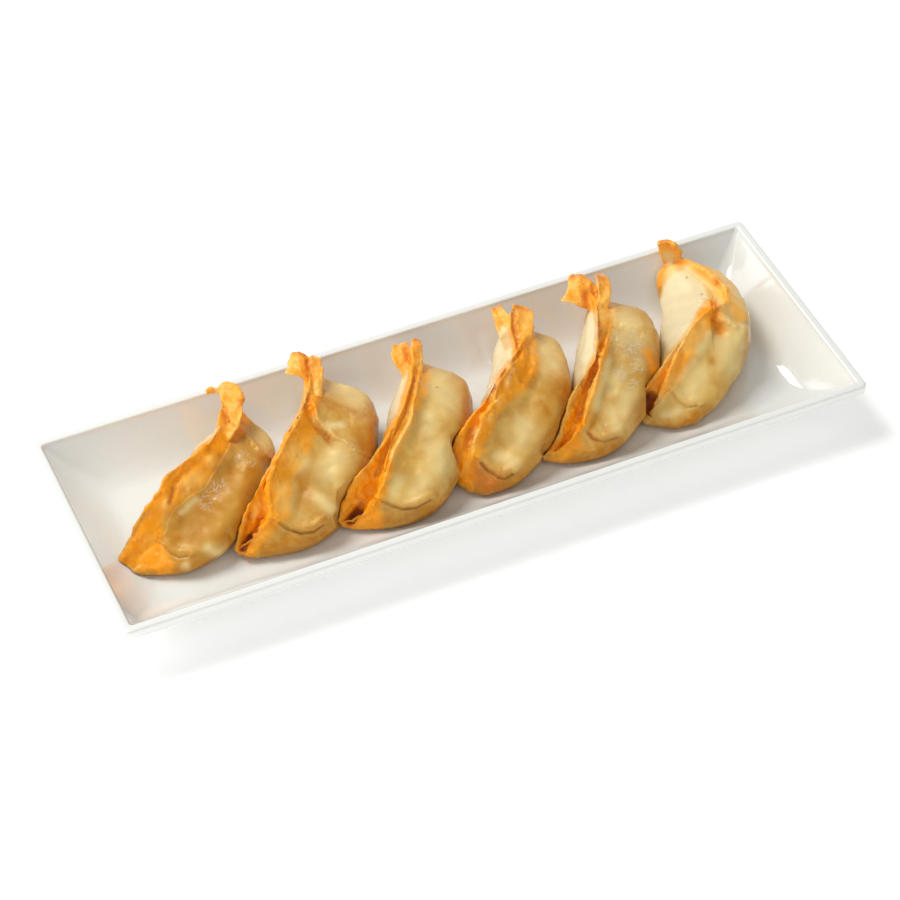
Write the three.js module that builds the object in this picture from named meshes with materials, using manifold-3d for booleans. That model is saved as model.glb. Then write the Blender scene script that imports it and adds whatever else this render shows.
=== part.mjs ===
// Six fried dumplings in a row on a long rectangular porcelain plate.
// Millimetres, +Z up. The origin is the middle of the plate's foot, on the table. +X runs along the plate.
import * as THREE from "three";
import Module from "manifold-3d";

const plate = {
  length: 300,
  width: 103,
  height: 22,
  rimThickness: 3.4,
  rimCorner: 2.5,
  rimRound: 0.8,
  lipHeight: 4, // the upright band round the outside of the rim
  wallRun: 20, // the inner wall's width in plan, from the rim's inner edge to the flat floor
  wallCurve: 1.9, // 1 is a straight slope, 2 a hollow one
  floorHeight: 5.5,
  floorCorner: 9,
  footInset: 26,
  footWidth: 4,
  footHeight: 1.6,
  flare: [[18, 3], [11, 6.6], [5, 12], [1.2, 16.6]], // the underside, as insets from the outline and heights
};

const wrapper = {
  sheet: 1.2, // one layer of fried dough at the seam
  keelUp: 1.2, // the front corner's underside above the floor
  heelUp: 9, // the back corner's
  foldThickness: 1.7, // the curled ends of the seam
  gapToPlate: 0.3,
  finest: 0.06, // details smaller than this are smoothed away
  gapBetween: 0.5,
};

// Where along a dumpling, as a part of its length from the front corner, the lists of sizes are given.
const marks = [0, 0.05, 0.12, 0.2, 0.3, 0.4, 0.5, 0.6, 0.7, 0.8, 0.9, 1];

// Each dumpling stands on its folded side with the sealed seam on top, one corner near the front of the
// plate and the other, curled up, at the back. near is the front corner in plan and heading the way to the
// back corner in degrees from +X. Across is measured to the right of the straight line between the corners
// and up from the plate's floor. gape is how far the two layers stand apart along the seam, groove how deep
// the valley between them is for its width, skirt the flat band of dough below the seam, and chin how far
// the filling bulges over the empty fold under it. Each crease is a ridge running down the right side from
// the seam. Each curl is a leaf of dough at the back corner: its middle line as [along, across, up], its
// widths along that line, the way its width points, and how hollow it is.
const dumplings = [
  {
    near: [-137.2, -10.3], heading: 41, length: 81, groove: 0.5,
    seamAcross: [-1.5, -1, 0, 1.5, 4, 5, 8, 11, 10.5, 9.5, 7.5, 7],
    seamUp: [3, 7, 11.5, 17.5, 22.5, 25, 26, 26, 25.5, 23, 17.5, 13],
    gape: [0, 0, 0, 0, 0, 0, 0, 0, 0, 0, 0, 0],
    skirt: [0, 3, 6, 9, 10, 10, 9, 7.5, 5.5, 4.5, 2.5, 0],
    front: [5, 13.5, 23.5, 28.5, 32.5, 34, 33, 32, 30.5, 28.5, 25.5, 9],
    back: [-1, -1.5, -2, -2, -1.5, -1, 0, 0, 0, 1.5, 3.5, 6],
    chin: [0, 0, 0.3, 0.9, 0.6, 0, 0, 0, 0, 0, 0, 0],
    creases: [{ at: 0.66, width: 0.045, out: 1.6 }, { at: 0.12, width: 0.04, out: 0.6 }],
    curls: [
      { line: [[58, 12, 22], [65, 12, 25.5], [71, 10, 27], [75.5, 6, 27.5], [76, 1.5, 27], [73.5, -2.5, 25]],
        widths: [6, 7.5, 7, 6, 4.5, 1.5], across: [0.6, 0.8, 0.2], hollow: 0.8 },
    ],
  },
  {
    near: [-95.2, -20.7], heading: 52, length: 84.5, groove: 0.9,
    seamAcross: [-1, -0.5, 1, 3.5, 6, 8, 9, 10.5, 10, 8, 6.5, 9],
    seamUp: [4, 8.5, 14.5, 20, 25, 28, 29.5, 29.5, 28.5, 26.5, 22.5, 13],
    gape: [0, 5, 8, 3.5, 0.5, 0, 0, 0, 0, 0.5, 1, 0],
    skirt: [0, 3, 5, 7, 8, 8, 7.5, 6, 4.5, 3.5, 2.5, 0],
    front: [6, 16.5, 26, 31.5, 35.5, 38, 38, 38, 37, 35, 31.5, 12],
    back: [-1, -1, 0, 1.5, 2.5, 4, 4.5, 5, 5, 4.5, 4, 8],
    chin: [0, 0, 0.4, 1, 0.9, 0.5, 0, 0, 0, 0, 0, 0],
    creases: [{ at: 0.5, width: 0.04, out: 2 }, { at: 0.66, width: 0.05, out: 1.6 }],
    curls: [
      { line: [[76, 8, 23], [76.5, 3, 26], [76.5, -0.5, 25.5], [76, -2.4, 23.5]],
        widths: [12, 14, 13, 9], across: [1, 0, 0.1], hollow: -1 },
      { line: [[60, 11, 23], [67, 11, 26.5], [75, 9, 27], [83, 6.5, 25.5]],
        widths: [4, 5.5, 5.5, 3.5], across: [0.3, 0.9, -0.4], hollow: 0.6 },
    ],
  },
  {
    near: [-55.2, -23.7], heading: 51, length: 80, groove: 0.9,
    seamAcross: [-1, -0.5, 1.5, 5.5, 9.5, 11.5, 12.5, 12.5, 11.5, 9, 6.5, 7],
    seamUp: [4, 8.5, 14.5, 20, 25, 28, 29.5, 29.5, 28.5, 26.5, 22.5, 13],
    gape: [0, 5, 6, 5, 2.5, 1.5, 1.5, 1, 0, 0.5, 1, 0],
    skirt: [0, 2, 4, 5, 5, 5, 5, 5, 4.5, 3.5, 2.5, 0],
    front: [5, 17.5, 27, 33, 36, 37, 35.5, 35, 34.5, 33, 29.5, 10],
    back: [-1, -1, 0.5, 2.5, 4.5, 5, 5, 3.5, 3, 3.5, 4, 6],
    chin: [0, 0, 0.3, 1, 1, 0.6, 0.1, 0, 0, 0, 0, 0],
    creases: [{ at: 0.56, width: 0.05, out: 1.2 }],
    curls: [
      { line: [[63, 9, 20.5], [68, 5.5, 23], [72.5, 2.5, 24], [76.5, 0.5, 23.5]],
        widths: [5, 7.5, 8, 5], across: [0.5, 0.8, 0.3], hollow: 1 },
      { line: [[60, 11, 23], [67, 10.5, 25.5], [73, 8.5, 26], [79, 6.5, 25]],
        widths: [4, 5, 4.5, 2.5], across: [0.3, 0.9, -0.4], hollow: 0.5 },
    ],
  },
  {
    near: [-12, -21.4], heading: 51, length: 79, groove: 0.35,
    seamAcross: [10, 2, 1, 4, 8, 10, 12, 14, 15, 14, 10, 8],
    seamUp: [4, 10.5, 16.5, 21.5, 25.5, 28, 29.5, 29.5, 29, 26.5, 22.5, 13],
    gape: [0, 3, 5.5, 4, 3, 1.5, 0, 0, 0, 1, 1.5, 0],
    skirt: [0, 4, 8, 9, 9, 8.5, 7.5, 6.5, 5.5, 4, 2.5, 0],
    front: [16, 21.5, 27.5, 30.5, 34, 37, 37, 36.5, 34.5, 31.5, 27, 11],
    back: [8, 1, -0.5, 0, 1.5, 3.5, 4, 4, 3.5, 2, 1.5, 7],
    chin: [0, 0, 0.4, 1, 0.9, 0.3, 0, 0, 0, 0, 0, 0],
    creases: [{ at: 0.62, width: 0.05, out: 1.5 }],
    curls: [
      { line: [[58, 10.5, 19], [64, 7, 23], [69, 3.8, 25], [75, 0, 25.5]],
        widths: [6, 6.5, 6.5, 4.5], across: [0.2, 0.9, 0.3], hollow: 0.8 },
      { line: [[58, 14, 23], [64, 12.5, 26.5], [71, 11, 27.5], [77, 8, 26.5]],
        widths: [5, 9, 10, 5], across: [0.2, 0.9, -0.1], hollow: 0.8 },
    ],
  },
  {
    near: [27.4, -24.2], heading: 56.5, length: 78.5, groove: 0.9,
    seamAcross: [0, 3.5, 5.5, 7.5, 11, 14.5, 14, 13, 12, 10.5, 8.5, 10],
    seamUp: [4, 7.5, 13.5, 20, 25, 28.5, 30, 30, 29.5, 28, 23.5, 13],
    gape: [0, 3, 6, 5, 3.5, 1.5, 0, 0, 0, 0.5, 1, 0],
    skirt: [0, 2, 4, 5, 5, 5, 4.5, 4, 3.5, 3, 3, 0],
    front: [8, 20.5, 28, 32.5, 35.5, 37.5, 38.5, 38, 37, 34.5, 31, 13],
    back: [-1, 0, 2, 3.5, 6, 5.5, 5, 5, 5, 5.5, 6, 9],
    chin: [0, 0, 0.4, 1, 0.9, 0.3, 0, 0, 0, 0, 0, 0],
    creases: [{ at: 0.72, width: 0.05, out: 1.8 }],
    curls: [
      { line: [[68, 9, 22], [69, 3.5, 25], [70.5, -0.5, 24.5], [71.5, -2.5, 23]],
        widths: [14, 18, 16, 12], across: [1, 0.1, 0.1], hollow: 1.6 },
      { line: [[59, 12.5, 24], [66, 13, 27.5], [73, 11.5, 28], [79, 9, 26.5]],
        widths: [4, 5, 6, 4], across: [0.2, 0.9, -0.3], hollow: 0.8 },
    ],
  },
  {
    near: [66.9, -20.4], heading: 56.5, length: 82, groove: 0.8,
    seamAcross: [8, 1, 4, 9, 14.5, 19, 24.5, 29, 28, 21, 12, 6],
    seamUp: [4, 7.5, 13, 19, 25, 27.5, 27.5, 26, 24.5, 23.5, 21, 13],
    gape: [0, 5, 7, 5.5, 2, 0, 0, 0, 0, 0.5, 1, 0],
    skirt: [0, 3, 5, 6, 7, 7, 6, 4.5, 4, 4, 2.5, 0],
    front: [17, 23.5, 28.5, 32.5, 36, 38.5, 39.5, 39, 36.5, 33, 27, 10],
    back: [4, 0, 1.5, 5.5, 6, 5, 5, 5, 4, 1.5, -0.5, 4],
    chin: [0, 0, 0.4, 1, 0.9, 0.4, 0, 0, 0, 0, 0, 0],
    creases: [{ at: 0.46, width: 0.035, out: 2.2 }],
    curls: [
      { line: [[77, 8, 10], [79, 5.5, 15.5], [79.5, 3.5, 20], [78.5, 2.5, 24.5]],
        widths: [9, 10, 10, 8.5], across: [0, 1, 0.05], hollow: 1 },
    ],
  },
];

// Height of the plate's inside at a place in plan.
function plateTop(x, y) {
  const fromRim = Math.min(
    plate.length / 2 - plate.rimThickness - Math.abs(x),
    plate.width / 2 - plate.rimThickness - Math.abs(y),
  );
  const up = Math.min(Math.max(1 - fromRim / plate.wallRun, 0), 1);
  return plate.floorHeight + (plate.height - plate.floorHeight) * up ** plate.wallCurve;
}

const mix = (a, b, k) => a + (b - a) * k;
const bell = (x) => Math.exp(-x * x);

// The smooth curve through a list of sizes at the marks, with no overshoot between them.
function sizeAt(list, t) {
  const above = marks.findIndex((m) => m > t);
  const i = above < 0 ? marks.length - 2 : Math.max(above - 1, 0);
  const slope = (k) => (list[k + 1] - list[k]) / (marks[k + 1] - marks[k]);
  const tangent = (k) => {
    if (k === 0) return slope(0);
    if (k === list.length - 1) return slope(k - 1);
    const [s0, s1] = [slope(k - 1), slope(k)];
    return s0 * s1 <= 0 ? 0 : (2 * s0 * s1) / (s0 + s1);
  };
  const span = marks[i + 1] - marks[i];
  const u = (t - marks[i]) / span;
  return (
    (2 * u ** 3 - 3 * u ** 2 + 1) * list[i] +
    (u ** 3 - 2 * u ** 2 + u) * tangent(i) * span +
    (3 * u ** 2 - 2 * u ** 3) * list[i + 1] +
    (u ** 3 - u ** 2) * tangent(i + 1) * span
  );
}

// The closed outline of a dumpling's cross-section, as points [across, up] above the floor: the valley
// between the two layers, down the right side, under the body and up the left side.
function section(d, t) {
  const [seamAt, seamUp, gape, skirt, front, back, chin] = [
    d.seamAcross, d.seamUp, d.gape, d.skirt, d.front, d.back, d.chin,
  ].map((list) => sizeAt(list, t));
  const waver = Math.sin(Math.PI * t);
  const crest = seamUp + 0.5 * waver * Math.sin(31 * t + d.heading) + 0.3 * waver * Math.sin(57 * t);
  const out = d.creases.reduce((sum, c) => sum + c.out * bell((t - c.at) / c.width), 0);
  const [toe, heel] = [Math.max(1 - t / 0.12, 0), Math.max((t - 0.7) / 0.3, 0)];
  const keel = wrapper.keelUp * toe ** 1.5 + wrapper.heelUp * heel ** 1.6;
  const tall = crest - keel;
  const layer = wrapper.sheet;
  const open = seamAt + gape;
  const depth = Math.min(0.25 + d.groove * gape, 0.5 * tall);
  const rootUp = crest - Math.min(0.7 * skirt, 0.3 * tall) - 0.05 * tall;
  const rootAt = Math.min(open + layer + skirt, mix(open + layer, front, 0.7));
  const widest = keel + 0.33 * tall;
  const kick = 0.14 * (front - back);
  return [
    [mix(seamAt, open, 0.5), crest - depth], // the valley between the layers
    [open + 0.1, crest - 0.1 * gape + 0.05], // the right layer's edge
    [open + layer, crest - 0.1 * gape - 0.05 * tall],
    [rootAt + 0.4 * out, rootUp + 0.5 * out], // where the skirt meets the filling
    [mix(rootAt, front, 0.8) + 0.5 * out, mix(rootUp, widest, 0.27) + 0.8 * out], // the shoulder
    [front + 0.3 * chin, widest], // the belly
    [front - 0.12 * kick - 1.7 * chin, keel + 0.2 * tall], // under the chin
    [front - 0.4 * kick, keel + 0.1 * tall],
    [front - kick, keel], // the flat underside
    [mix(back, front, 0.5), keel],
    [back + kick, keel],
    [back + 0.3 * kick, keel + 0.14 * tall],
    [back, widest + 0.08 * tall], // the left side
    [mix(back, seamAt - layer, 0.5), mix(widest, rootUp, 0.72)],
    [seamAt - layer, crest - Math.min(5, 0.22 * tall)],
    [seamAt - layer, crest - 0.05 * tall], // the left layer's edge
    [seamAt - 0.1, crest],
  ];
}

// Points on the smooth closed curve through the outline, steps of them to each stretch.
function closedCurve(points, steps) {
  const n = points.length;
  return points.flatMap((p1, i) => {
    const [p0, p2, p3] = [points[(i + n - 1) % n], points[(i + 1) % n], points[(i + 2) % n]];
    return Array.from({ length: steps[i] }, (_, k) => {
      const u = k / steps[i];
      return [0, 1].map(
        (c) =>
          0.5 *
          (2 * p1[c] +
            (p2[c] - p0[c]) * u +
            (2 * p0[c] - 5 * p1[c] + 4 * p2[c] - p3[c]) * u * u +
            (3 * p1[c] - p0[c] - 3 * p2[c] + p3[c]) * u * u * u),
      );
    });
  });
}

const bodyStations = 27;
const bodySteps = [1, 1, 1, 2, 2, 2, 1, 1, 1, 1, 1, 1, 2, 2, 1, 1, 1];

// A closed skin over rings of points, each ring with the same number of them, with a point at each end.
function skin(rings, startPoint, endPoint) {
  const n = rings[0].length;
  const positions = [...rings.flat(), startPoint, endPoint].flat();
  const [start, end] = [rings.length * n, rings.length * n + 1];
  const last = (rings.length - 1) * n;
  const indices = [];
  for (let j = 0; j < n; j++) {
    const k = (j + 1) % n;
    for (let i = 0; i + 1 < rings.length; i++) {
      const [a, b] = [i * n, (i + 1) * n];
      indices.push(a + j, b + k, b + j, a + j, a + k, b + k);
    }
    indices.push(start, k, j, end, last + j, last + k);
  }
  return new THREE.BufferGeometry()
    .setAttribute("position", new THREE.Float32BufferAttribute(positions, 3))
    .setIndex(indices);
}

const middleOf = (ring) => ring.reduce((sum, p) => sum.map((x, c) => x + p[c] / ring.length), [0, 0, 0]);

// A dumpling's own directions in plan.
function axesOf(d) {
  const turn = THREE.MathUtils.degToRad(d.heading);
  return {
    along: new THREE.Vector3(Math.cos(turn), Math.sin(turn), 0),
    right: new THREE.Vector3(Math.sin(turn), -Math.cos(turn), 0),
  };
}

// How far left a dumpling's side reaches at a place along it and a height above the floor.
function leftSide(d, t, up) {
  const outline = closedCurve(section(d, t), bodySteps);
  const crossings = outline.flatMap(([p0, z0], i) => {
    const [p1, z1] = outline[(i + 1) % outline.length];
    return z0 > up === z1 > up ? [] : [mix(p0, p1, (up - z0) / (z1 - z0))];
  });
  return Math.min(...crossings);
}

// A place in a dumpling's own directions, on the plate: never below the plate's surface, and pressed back
// where the next dumpling's side is in the way.
function placed(d, [a, p, z]) {
  const { along, right } = axesOf(d);
  let x = d.near[0] + a * along.x + p * right.x;
  let y = d.near[1] + a * along.y + p * right.y;
  const next = dumplings[dumplings.indexOf(d) + 1];
  if (next) {
    const axes = axesOf(next);
    const [dx, dy] = [x - next.near[0], y - next.near[1]];
    const nextAlong = dx * axes.along.x + dy * axes.along.y;
    const beyond = Math.max(-nextAlong, nextAlong - next.length, 0);
    const t = Math.min(Math.max(nextAlong / next.length, 0), 1);
    const limit = leftSide(next, t, z) - wrapper.gapBetween;
    const press = Math.max(dx * axes.right.x + dy * axes.right.y - limit, 0) * Math.max(1 - beyond / 3, 0);
    if (Number.isFinite(limit) && press < 12) {
      x -= press * axes.right.x;
      y -= press * axes.right.y;
    }
  }
  return [x, y, Math.max(plate.floorHeight + z, plateTop(x, y)) + wrapper.gapToPlate];
}

function bodyGeometry(d) {
  const rings = Array.from({ length: bodyStations + 1 }, (_, i) => {
    const u = i / bodyStations;
    const t = mix(u, (1 - Math.cos(Math.PI * u)) / 2, 0.6);
    return closedCurve(section(d, t), bodySteps).map(([p, z]) => placed(d, [t * d.length, p, z]));
  });
  const { along } = axesOf(d);
  const [start, end] = [middleOf(rings[0]), middleOf(rings[bodyStations])];
  start[0] -= 0.5 * along.x;
  start[1] -= 0.5 * along.y;
  end[0] += 0.5 * along.x;
  end[1] += 0.5 * along.y;
  return skin(rings, start, end);
}

const curlStations = 7;
const curlSides = 10;

function curlGeometry(d, curl) {
  const { along, right } = axesOf(d);
  const line = new THREE.CatmullRomCurve3(curl.line.map((p) => new THREE.Vector3(...placed(d, p))));
  const [a, p, z] = curl.across;
  const wide = new THREE.Vector3().addScaledVector(along, a).addScaledVector(right, p);
  wide.z = z;
  const rings = Array.from({ length: curlStations + 1 }, (_, i) => {
    const u = i / curlStations;
    const centre = line.getPoint(u);
    const forward = line.getTangent(u);
    const side = wide.clone().addScaledVector(forward, -wide.dot(forward)).normalize();
    const face = new THREE.Vector3().crossVectors(side, forward);
    const k = u * (curl.widths.length - 1);
    const w = Math.min(Math.floor(k), curl.widths.length - 2);
    const half = mix(curl.widths[w], curl.widths[w + 1], k - w) / 2;
    return Array.from({ length: curlSides }, (_, j) => {
      const turn = (-2 * Math.PI * j) / curlSides;
      const [x, y] = [Math.cos(turn), Math.sin(turn)];
      const thick = 0.5 * wrapper.foldThickness * Math.sign(y) * Math.abs(y) ** 0.6;
      return centre
        .clone()
        .addScaledVector(side, half * x)
        .addScaledVector(face, thick + curl.hollow * (x * x - 0.5))
        .toArray();
    });
  });
  return skin(rings, middleOf(rings[0]), middleOf(rings[curlStations]));
}

// A dumpling with its top and front corner moved out by the gap kept between two of them, and its left side
// by twice that.
function swollen(d) {
  const gap = wrapper.gapBetween;
  const { along } = axesOf(d);
  const moved = (list, by) => list.map((size) => size + by);
  return {
    ...d,
    near: [d.near[0] - gap * along.x, d.near[1] - gap * along.y],
    seamAcross: moved(d.seamAcross, -2 * gap),
    seamUp: moved(d.seamUp, gap),
    gape: moved(d.gape, 2 * gap),
    back: moved(d.back, -2 * gap),
    groove: 0,
  };
}

const wasm = await Module();
wasm.setup();

function asSolid(geometry) {
  return new wasm.Manifold(
    new wasm.Mesh({
      numProp: 3,
      vertProperties: new Float32Array(geometry.attributes.position.array),
      triVerts: new Uint32Array(geometry.index.array),
    }),
  );
}

function dumplingGeometry(d) {
  const body = asSolid(bodyGeometry(d));
  let solid = d.curls.reduce((whole, curl) => whole.add(asSolid(curlGeometry(d, curl))), body);
  // where two dumplings touch, the left one gives way to the right one's shape
  const next = dumplings[dumplings.indexOf(d) + 1];
  if (next) {
    solid = solid.subtract(asSolid(bodyGeometry(swollen(next))));
  }
  // joining and cutting can leave a sealed pocket or a loose scrap: only the main skin is kept
  const [main] = solid.decompose().sort((a, b) => b.volume() - a.volume());
  const { vertProperties, triVerts } = main.simplify(wrapper.finest).getMesh();
  return new THREE.BufferGeometry()
    .setAttribute("position", new THREE.BufferAttribute(vertProperties, 3))
    .setIndex(new THREE.BufferAttribute(triVerts, 1));
}

// A closed rounded rectangle, inset from the plate's outline.
function rectangleRing(inset, corner, height) {
  const [x, y] = [plate.length / 2 - inset - corner, plate.width / 2 - inset - corner];
  const arc = 5;
  return [[x, y], [-x, y], [-x, -y], [x, -y]].flatMap(([cx, cy], q) =>
    Array.from({ length: arc + 1 }, (_, k) => {
      const turn = ((q + k / arc) * Math.PI) / 2;
      return [cx + corner * Math.cos(turn), cy + corner * Math.sin(turn), height];
    }),
  );
}

function plateGeometry() {
  const { height, rimThickness, rimCorner, rimRound, lipHeight, floorHeight } = plate;
  const { footInset, footWidth, footHeight } = plate;
  const wallSteps = 7;
  const wall = Array.from({ length: wallSteps + 1 }, (_, i) => {
    const k = i / wallSteps;
    const z = floorHeight + (height - rimRound - floorHeight) * (1 - k) ** plate.wallCurve;
    return rectangleRing(rimThickness + plate.wallRun * k, mix(rimCorner - 1, plate.floorCorner, k), z);
  });
  const underside = plate.flare.map(([inset, up]) =>
    rectangleRing(inset, mix(rimCorner, plate.floorCorner, inset / plate.flare[0][0]), up),
  );
  // from the middle of the underside, out over the foot, up the outside and over the rim
  const outside = [
    rectangleRing(footInset + footWidth + 1, 5, footHeight),
    rectangleRing(footInset + footWidth, 6, 0),
    rectangleRing(footInset, 8, 0),
    rectangleRing(footInset - 1, 9, footHeight),
    ...underside,
    rectangleRing(0, rimCorner, height - lipHeight),
    rectangleRing(0, rimCorner, height - rimRound),
    rectangleRing(rimRound, rimCorner, height),
    rectangleRing(rimThickness - rimRound, rimCorner - 1, height),
  ];
  return skin([...outside, ...wall], [0, 0, footHeight], [0, 0, floorHeight]);
}

const porcelain = new THREE.MeshStandardMaterial({ color: "#f4f3ef", roughness: 0.15, metalness: 0 });
const friedDough = new THREE.MeshStandardMaterial({ color: "#dca75c", roughness: 0.45, metalness: 0 });

const group = new THREE.Group();
const plateMesh = new THREE.Mesh(plateGeometry(), porcelain);
plateMesh.name = "plate";
group.add(plateMesh);
dumplings.forEach((d, i) => {
  const mesh = new THREE.Mesh(dumplingGeometry(d), friedDough);
  mesh.name = `dumpling_${i + 1}`;
  group.add(mesh);
});

export default group;
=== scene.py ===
import math

import bmesh
import bpy
import numpy as np
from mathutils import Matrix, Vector, kdtree, noise


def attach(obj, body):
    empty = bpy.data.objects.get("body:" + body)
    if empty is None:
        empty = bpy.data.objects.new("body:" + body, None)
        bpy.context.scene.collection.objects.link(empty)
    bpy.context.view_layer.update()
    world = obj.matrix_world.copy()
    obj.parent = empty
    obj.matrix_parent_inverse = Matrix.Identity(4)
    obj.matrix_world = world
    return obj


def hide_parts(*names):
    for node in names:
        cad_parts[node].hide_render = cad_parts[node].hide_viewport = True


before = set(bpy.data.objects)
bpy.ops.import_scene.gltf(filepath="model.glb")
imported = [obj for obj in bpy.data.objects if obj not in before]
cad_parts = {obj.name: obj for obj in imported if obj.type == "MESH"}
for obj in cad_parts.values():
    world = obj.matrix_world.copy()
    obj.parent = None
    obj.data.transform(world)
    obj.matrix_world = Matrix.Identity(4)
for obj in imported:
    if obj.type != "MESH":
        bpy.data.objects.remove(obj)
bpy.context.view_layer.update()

print("frame loaded")

# camera: lengths in metres, and the side of the rendered frame in pixels
shot = {
    "place": Vector((-0.33142, -0.72981, 0.84156)),
    "target": Vector((-0.000128, 0.002272, 0.0)),
    "lens": 121.91,
    "sensor": 36.0,
    "clipEnd": 20.0,
    "side": 900,
}

# pixels to a millimetre, where the dumplings lie
pixelsPerMm = 2.62


def linked(name, data):
    thing = bpy.data.objects.new(name, data)
    bpy.context.scene.collection.objects.link(thing)
    return thing


def meshFrom(bm, name):
    mesh = bpy.data.meshes.new(name)
    bm.to_mesh(mesh)
    bm.free()
    return mesh


backward = (shot["place"] - shot["target"]).normalized()
cameraTurn = backward.to_track_quat("Z", "Y")
camera = bpy.data.cameras.new("camera")
camera.lens = shot["lens"]
camera.sensor_width = shot["sensor"]
camera.clip_end = shot["clipEnd"]
cameraObject = linked("camera", camera)
cameraObject.location = shot["place"]
cameraObject.rotation_euler = cameraTurn.to_euler()
bpy.context.scene.camera = cameraObject
bpy.context.scene.view_settings.view_transform = "Standard"
print("camera set")


# where points, in millimetres, show in the frame
def pixelsOf(points):
    seen = (points - np.array(shot["place"]) * 1000) @ np.array(cameraTurn.to_matrix())
    scale = shot["lens"] / shot["sensor"] * shot["side"] / -seen[:, 2]
    return shot["side"] / 2 + seen[:, 0] * scale, shot["side"] / 2 - seen[:, 1] * scale


# how squarely each normal faces the camera, from -1 to 1
def facingOf(normals):
    return normals @ np.array(backward)


def fade(x, start, end):
    k = np.clip((x - start) / (end - start), 0, 1)
    return k * k * (3 - 2 * k)


def bell(x):
    return np.exp(-x * x)


def mix(a, b, k):
    return a + (b - a) * k


# plate, in millimetres: the foot's rings are [inset, corner, height], the flare's are [inset, height]
plate = {
    "length": 300, "width": 103, "height": 22,
    "rimThickness": 3.4, "rimCorner": 2.5, "rimInnerCorner": 1.5, "rimRound": 0.8,
    "lipHeight": 4, "lipOut": 0.15, "lipRise": 0.3,
    "wallRun": 20, "wallCurve": 1.9, "floorHeight": 5.5, "floorCorner": 9,
    "foot": [[31, 5, 1.6], [30.3, 6, 0.3], [30, 6, 0], [26, 8, 0], [25.7, 8, 0.3], [25, 9, 1.6]],
    "flare": [[18, 3], [11, 6.6], [5, 12], [1.2, 16.6]],
    "cornerSteps": 10, "sideSteps": 12, "wallSteps": 26, "roundSteps": 5,
}


# height of the plate's inside at places in plan
def plateTop(x, y):
    fromRim = np.minimum(
        plate["length"] / 2 - plate["rimThickness"] - np.abs(x),
        plate["width"] / 2 - plate["rimThickness"] - np.abs(y),
    )
    up = np.clip(1 - fromRim / plate["wallRun"], 0, 1)
    return plate["floorHeight"] + (plate["height"] - plate["floorHeight"]) * up ** plate["wallCurve"]


# points round a rounded rectangle, inset from the plate's outline
def rimRing(inset, corner, height):
    arc, side = plate["cornerSteps"], plate["sideSteps"]
    x, y = plate["length"] / 2 - inset - corner, plate["width"] / 2 - inset - corner
    centres = [(x, y), (-x, y), (-x, -y), (x, -y)]
    ring = []
    for q, (cx, cy) in enumerate(centres):
        for k in range(arc + 1):
            turn = (q + k / arc) * math.pi / 2
            ring.append((cx + corner * math.cos(turn), cy + corner * math.sin(turn), height))
        turn = (q + 1) * math.pi / 2
        start = Vector(ring[-1])
        nx, ny = centres[(q + 1) % 4]
        end = Vector((nx + corner * math.cos(turn), ny + corner * math.sin(turn), height))
        ring += [tuple(start.lerp(end, k / side)) for k in range(1, side)]
    return ring


# the rings of the plate's skin, from under the middle, out and over the rim to the flat floor
def plateRings():
    p = plate
    rings = [rimRing(*ring) for ring in p["foot"]]
    for inset, up in p["flare"]:
        rings.append(rimRing(inset, mix(p["rimCorner"], p["floorCorner"], inset / p["flare"][0][0]), up))
    lip = p["height"] - p["lipHeight"]
    rings.append(rimRing(p["lipOut"], p["rimCorner"], lip))
    rings.append(rimRing(0, p["rimCorner"], lip + p["lipRise"]))
    edge = p["height"] - p["rimRound"]
    # the rounded outer edge of the rim
    for k in range(p["roundSteps"] + 1):
        turn = k / p["roundSteps"] * math.pi / 2
        inset = p["rimRound"] * (1 - math.cos(turn))
        rings.append(rimRing(inset, p["rimCorner"], edge + p["rimRound"] * math.sin(turn)))
    # and its inner edge
    for k in range(p["roundSteps"]):
        turn = k / p["roundSteps"] * math.pi / 2
        inset = p["rimThickness"] - p["rimRound"] * (1 - math.sin(turn))
        rings.append(rimRing(inset, p["rimInnerCorner"], edge + p["rimRound"] * math.cos(turn)))
    for i in range(p["wallSteps"] + 1):
        k = i / p["wallSteps"]
        z = p["floorHeight"] + (edge - p["floorHeight"]) * (1 - k) ** p["wallCurve"]
        corner = mix(p["rimInnerCorner"], p["floorCorner"], k)
        rings.append(rimRing(p["rimThickness"] + p["wallRun"] * k, corner, z))
    return rings


# shows a mesh as a piece that rides on the body and stands in for a node
def finishPiece(mesh, name, material, node):
    mesh.polygons.foreach_set("use_smooth", [True] * len(mesh.polygons))
    mesh.materials.append(material)
    piece = linked(name, mesh)
    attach(piece, "root")
    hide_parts(node)


def buildPlate(material):
    rings = plateRings()
    bm = bmesh.new()
    loop = bmesh.ops.create_circle(bm, cap_ends=False, segments=len(rings[0]), radius=1)["verts"]
    edges = list(bm.edges)
    for vert, place in zip(loop, rings[0]):
        vert.co = place
    first = edges
    for ring in rings[1:]:
        made = bmesh.ops.extrude_edge_only(bm, edges=edges)["geom"]
        edges = [g for g in made if isinstance(g, bmesh.types.BMEdge)]
        # each new vertex takes the ring's place that follows on from the vertex it was pulled out of
        fresh = [g for g in made if isinstance(g, bmesh.types.BMVert)]
        step = {tuple(vert.co): k for k, vert in enumerate(loop)}
        loop = sorted(fresh, key=lambda vert: step[tuple(vert.co)])
        for vert, place in zip(loop, ring):
            vert.co = place
    bmesh.ops.contextual_create(bm, geom=edges)
    bmesh.ops.contextual_create(bm, geom=first)
    bmesh.ops.recalc_face_normals(bm, faces=bm.faces)
    bmesh.ops.scale(bm, vec=(0.001, 0.001, 0.001), verts=bm.verts)
    finishPiece(meshFrom(bm, "servingPlate"), "servingPlate", material, "plate")


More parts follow.
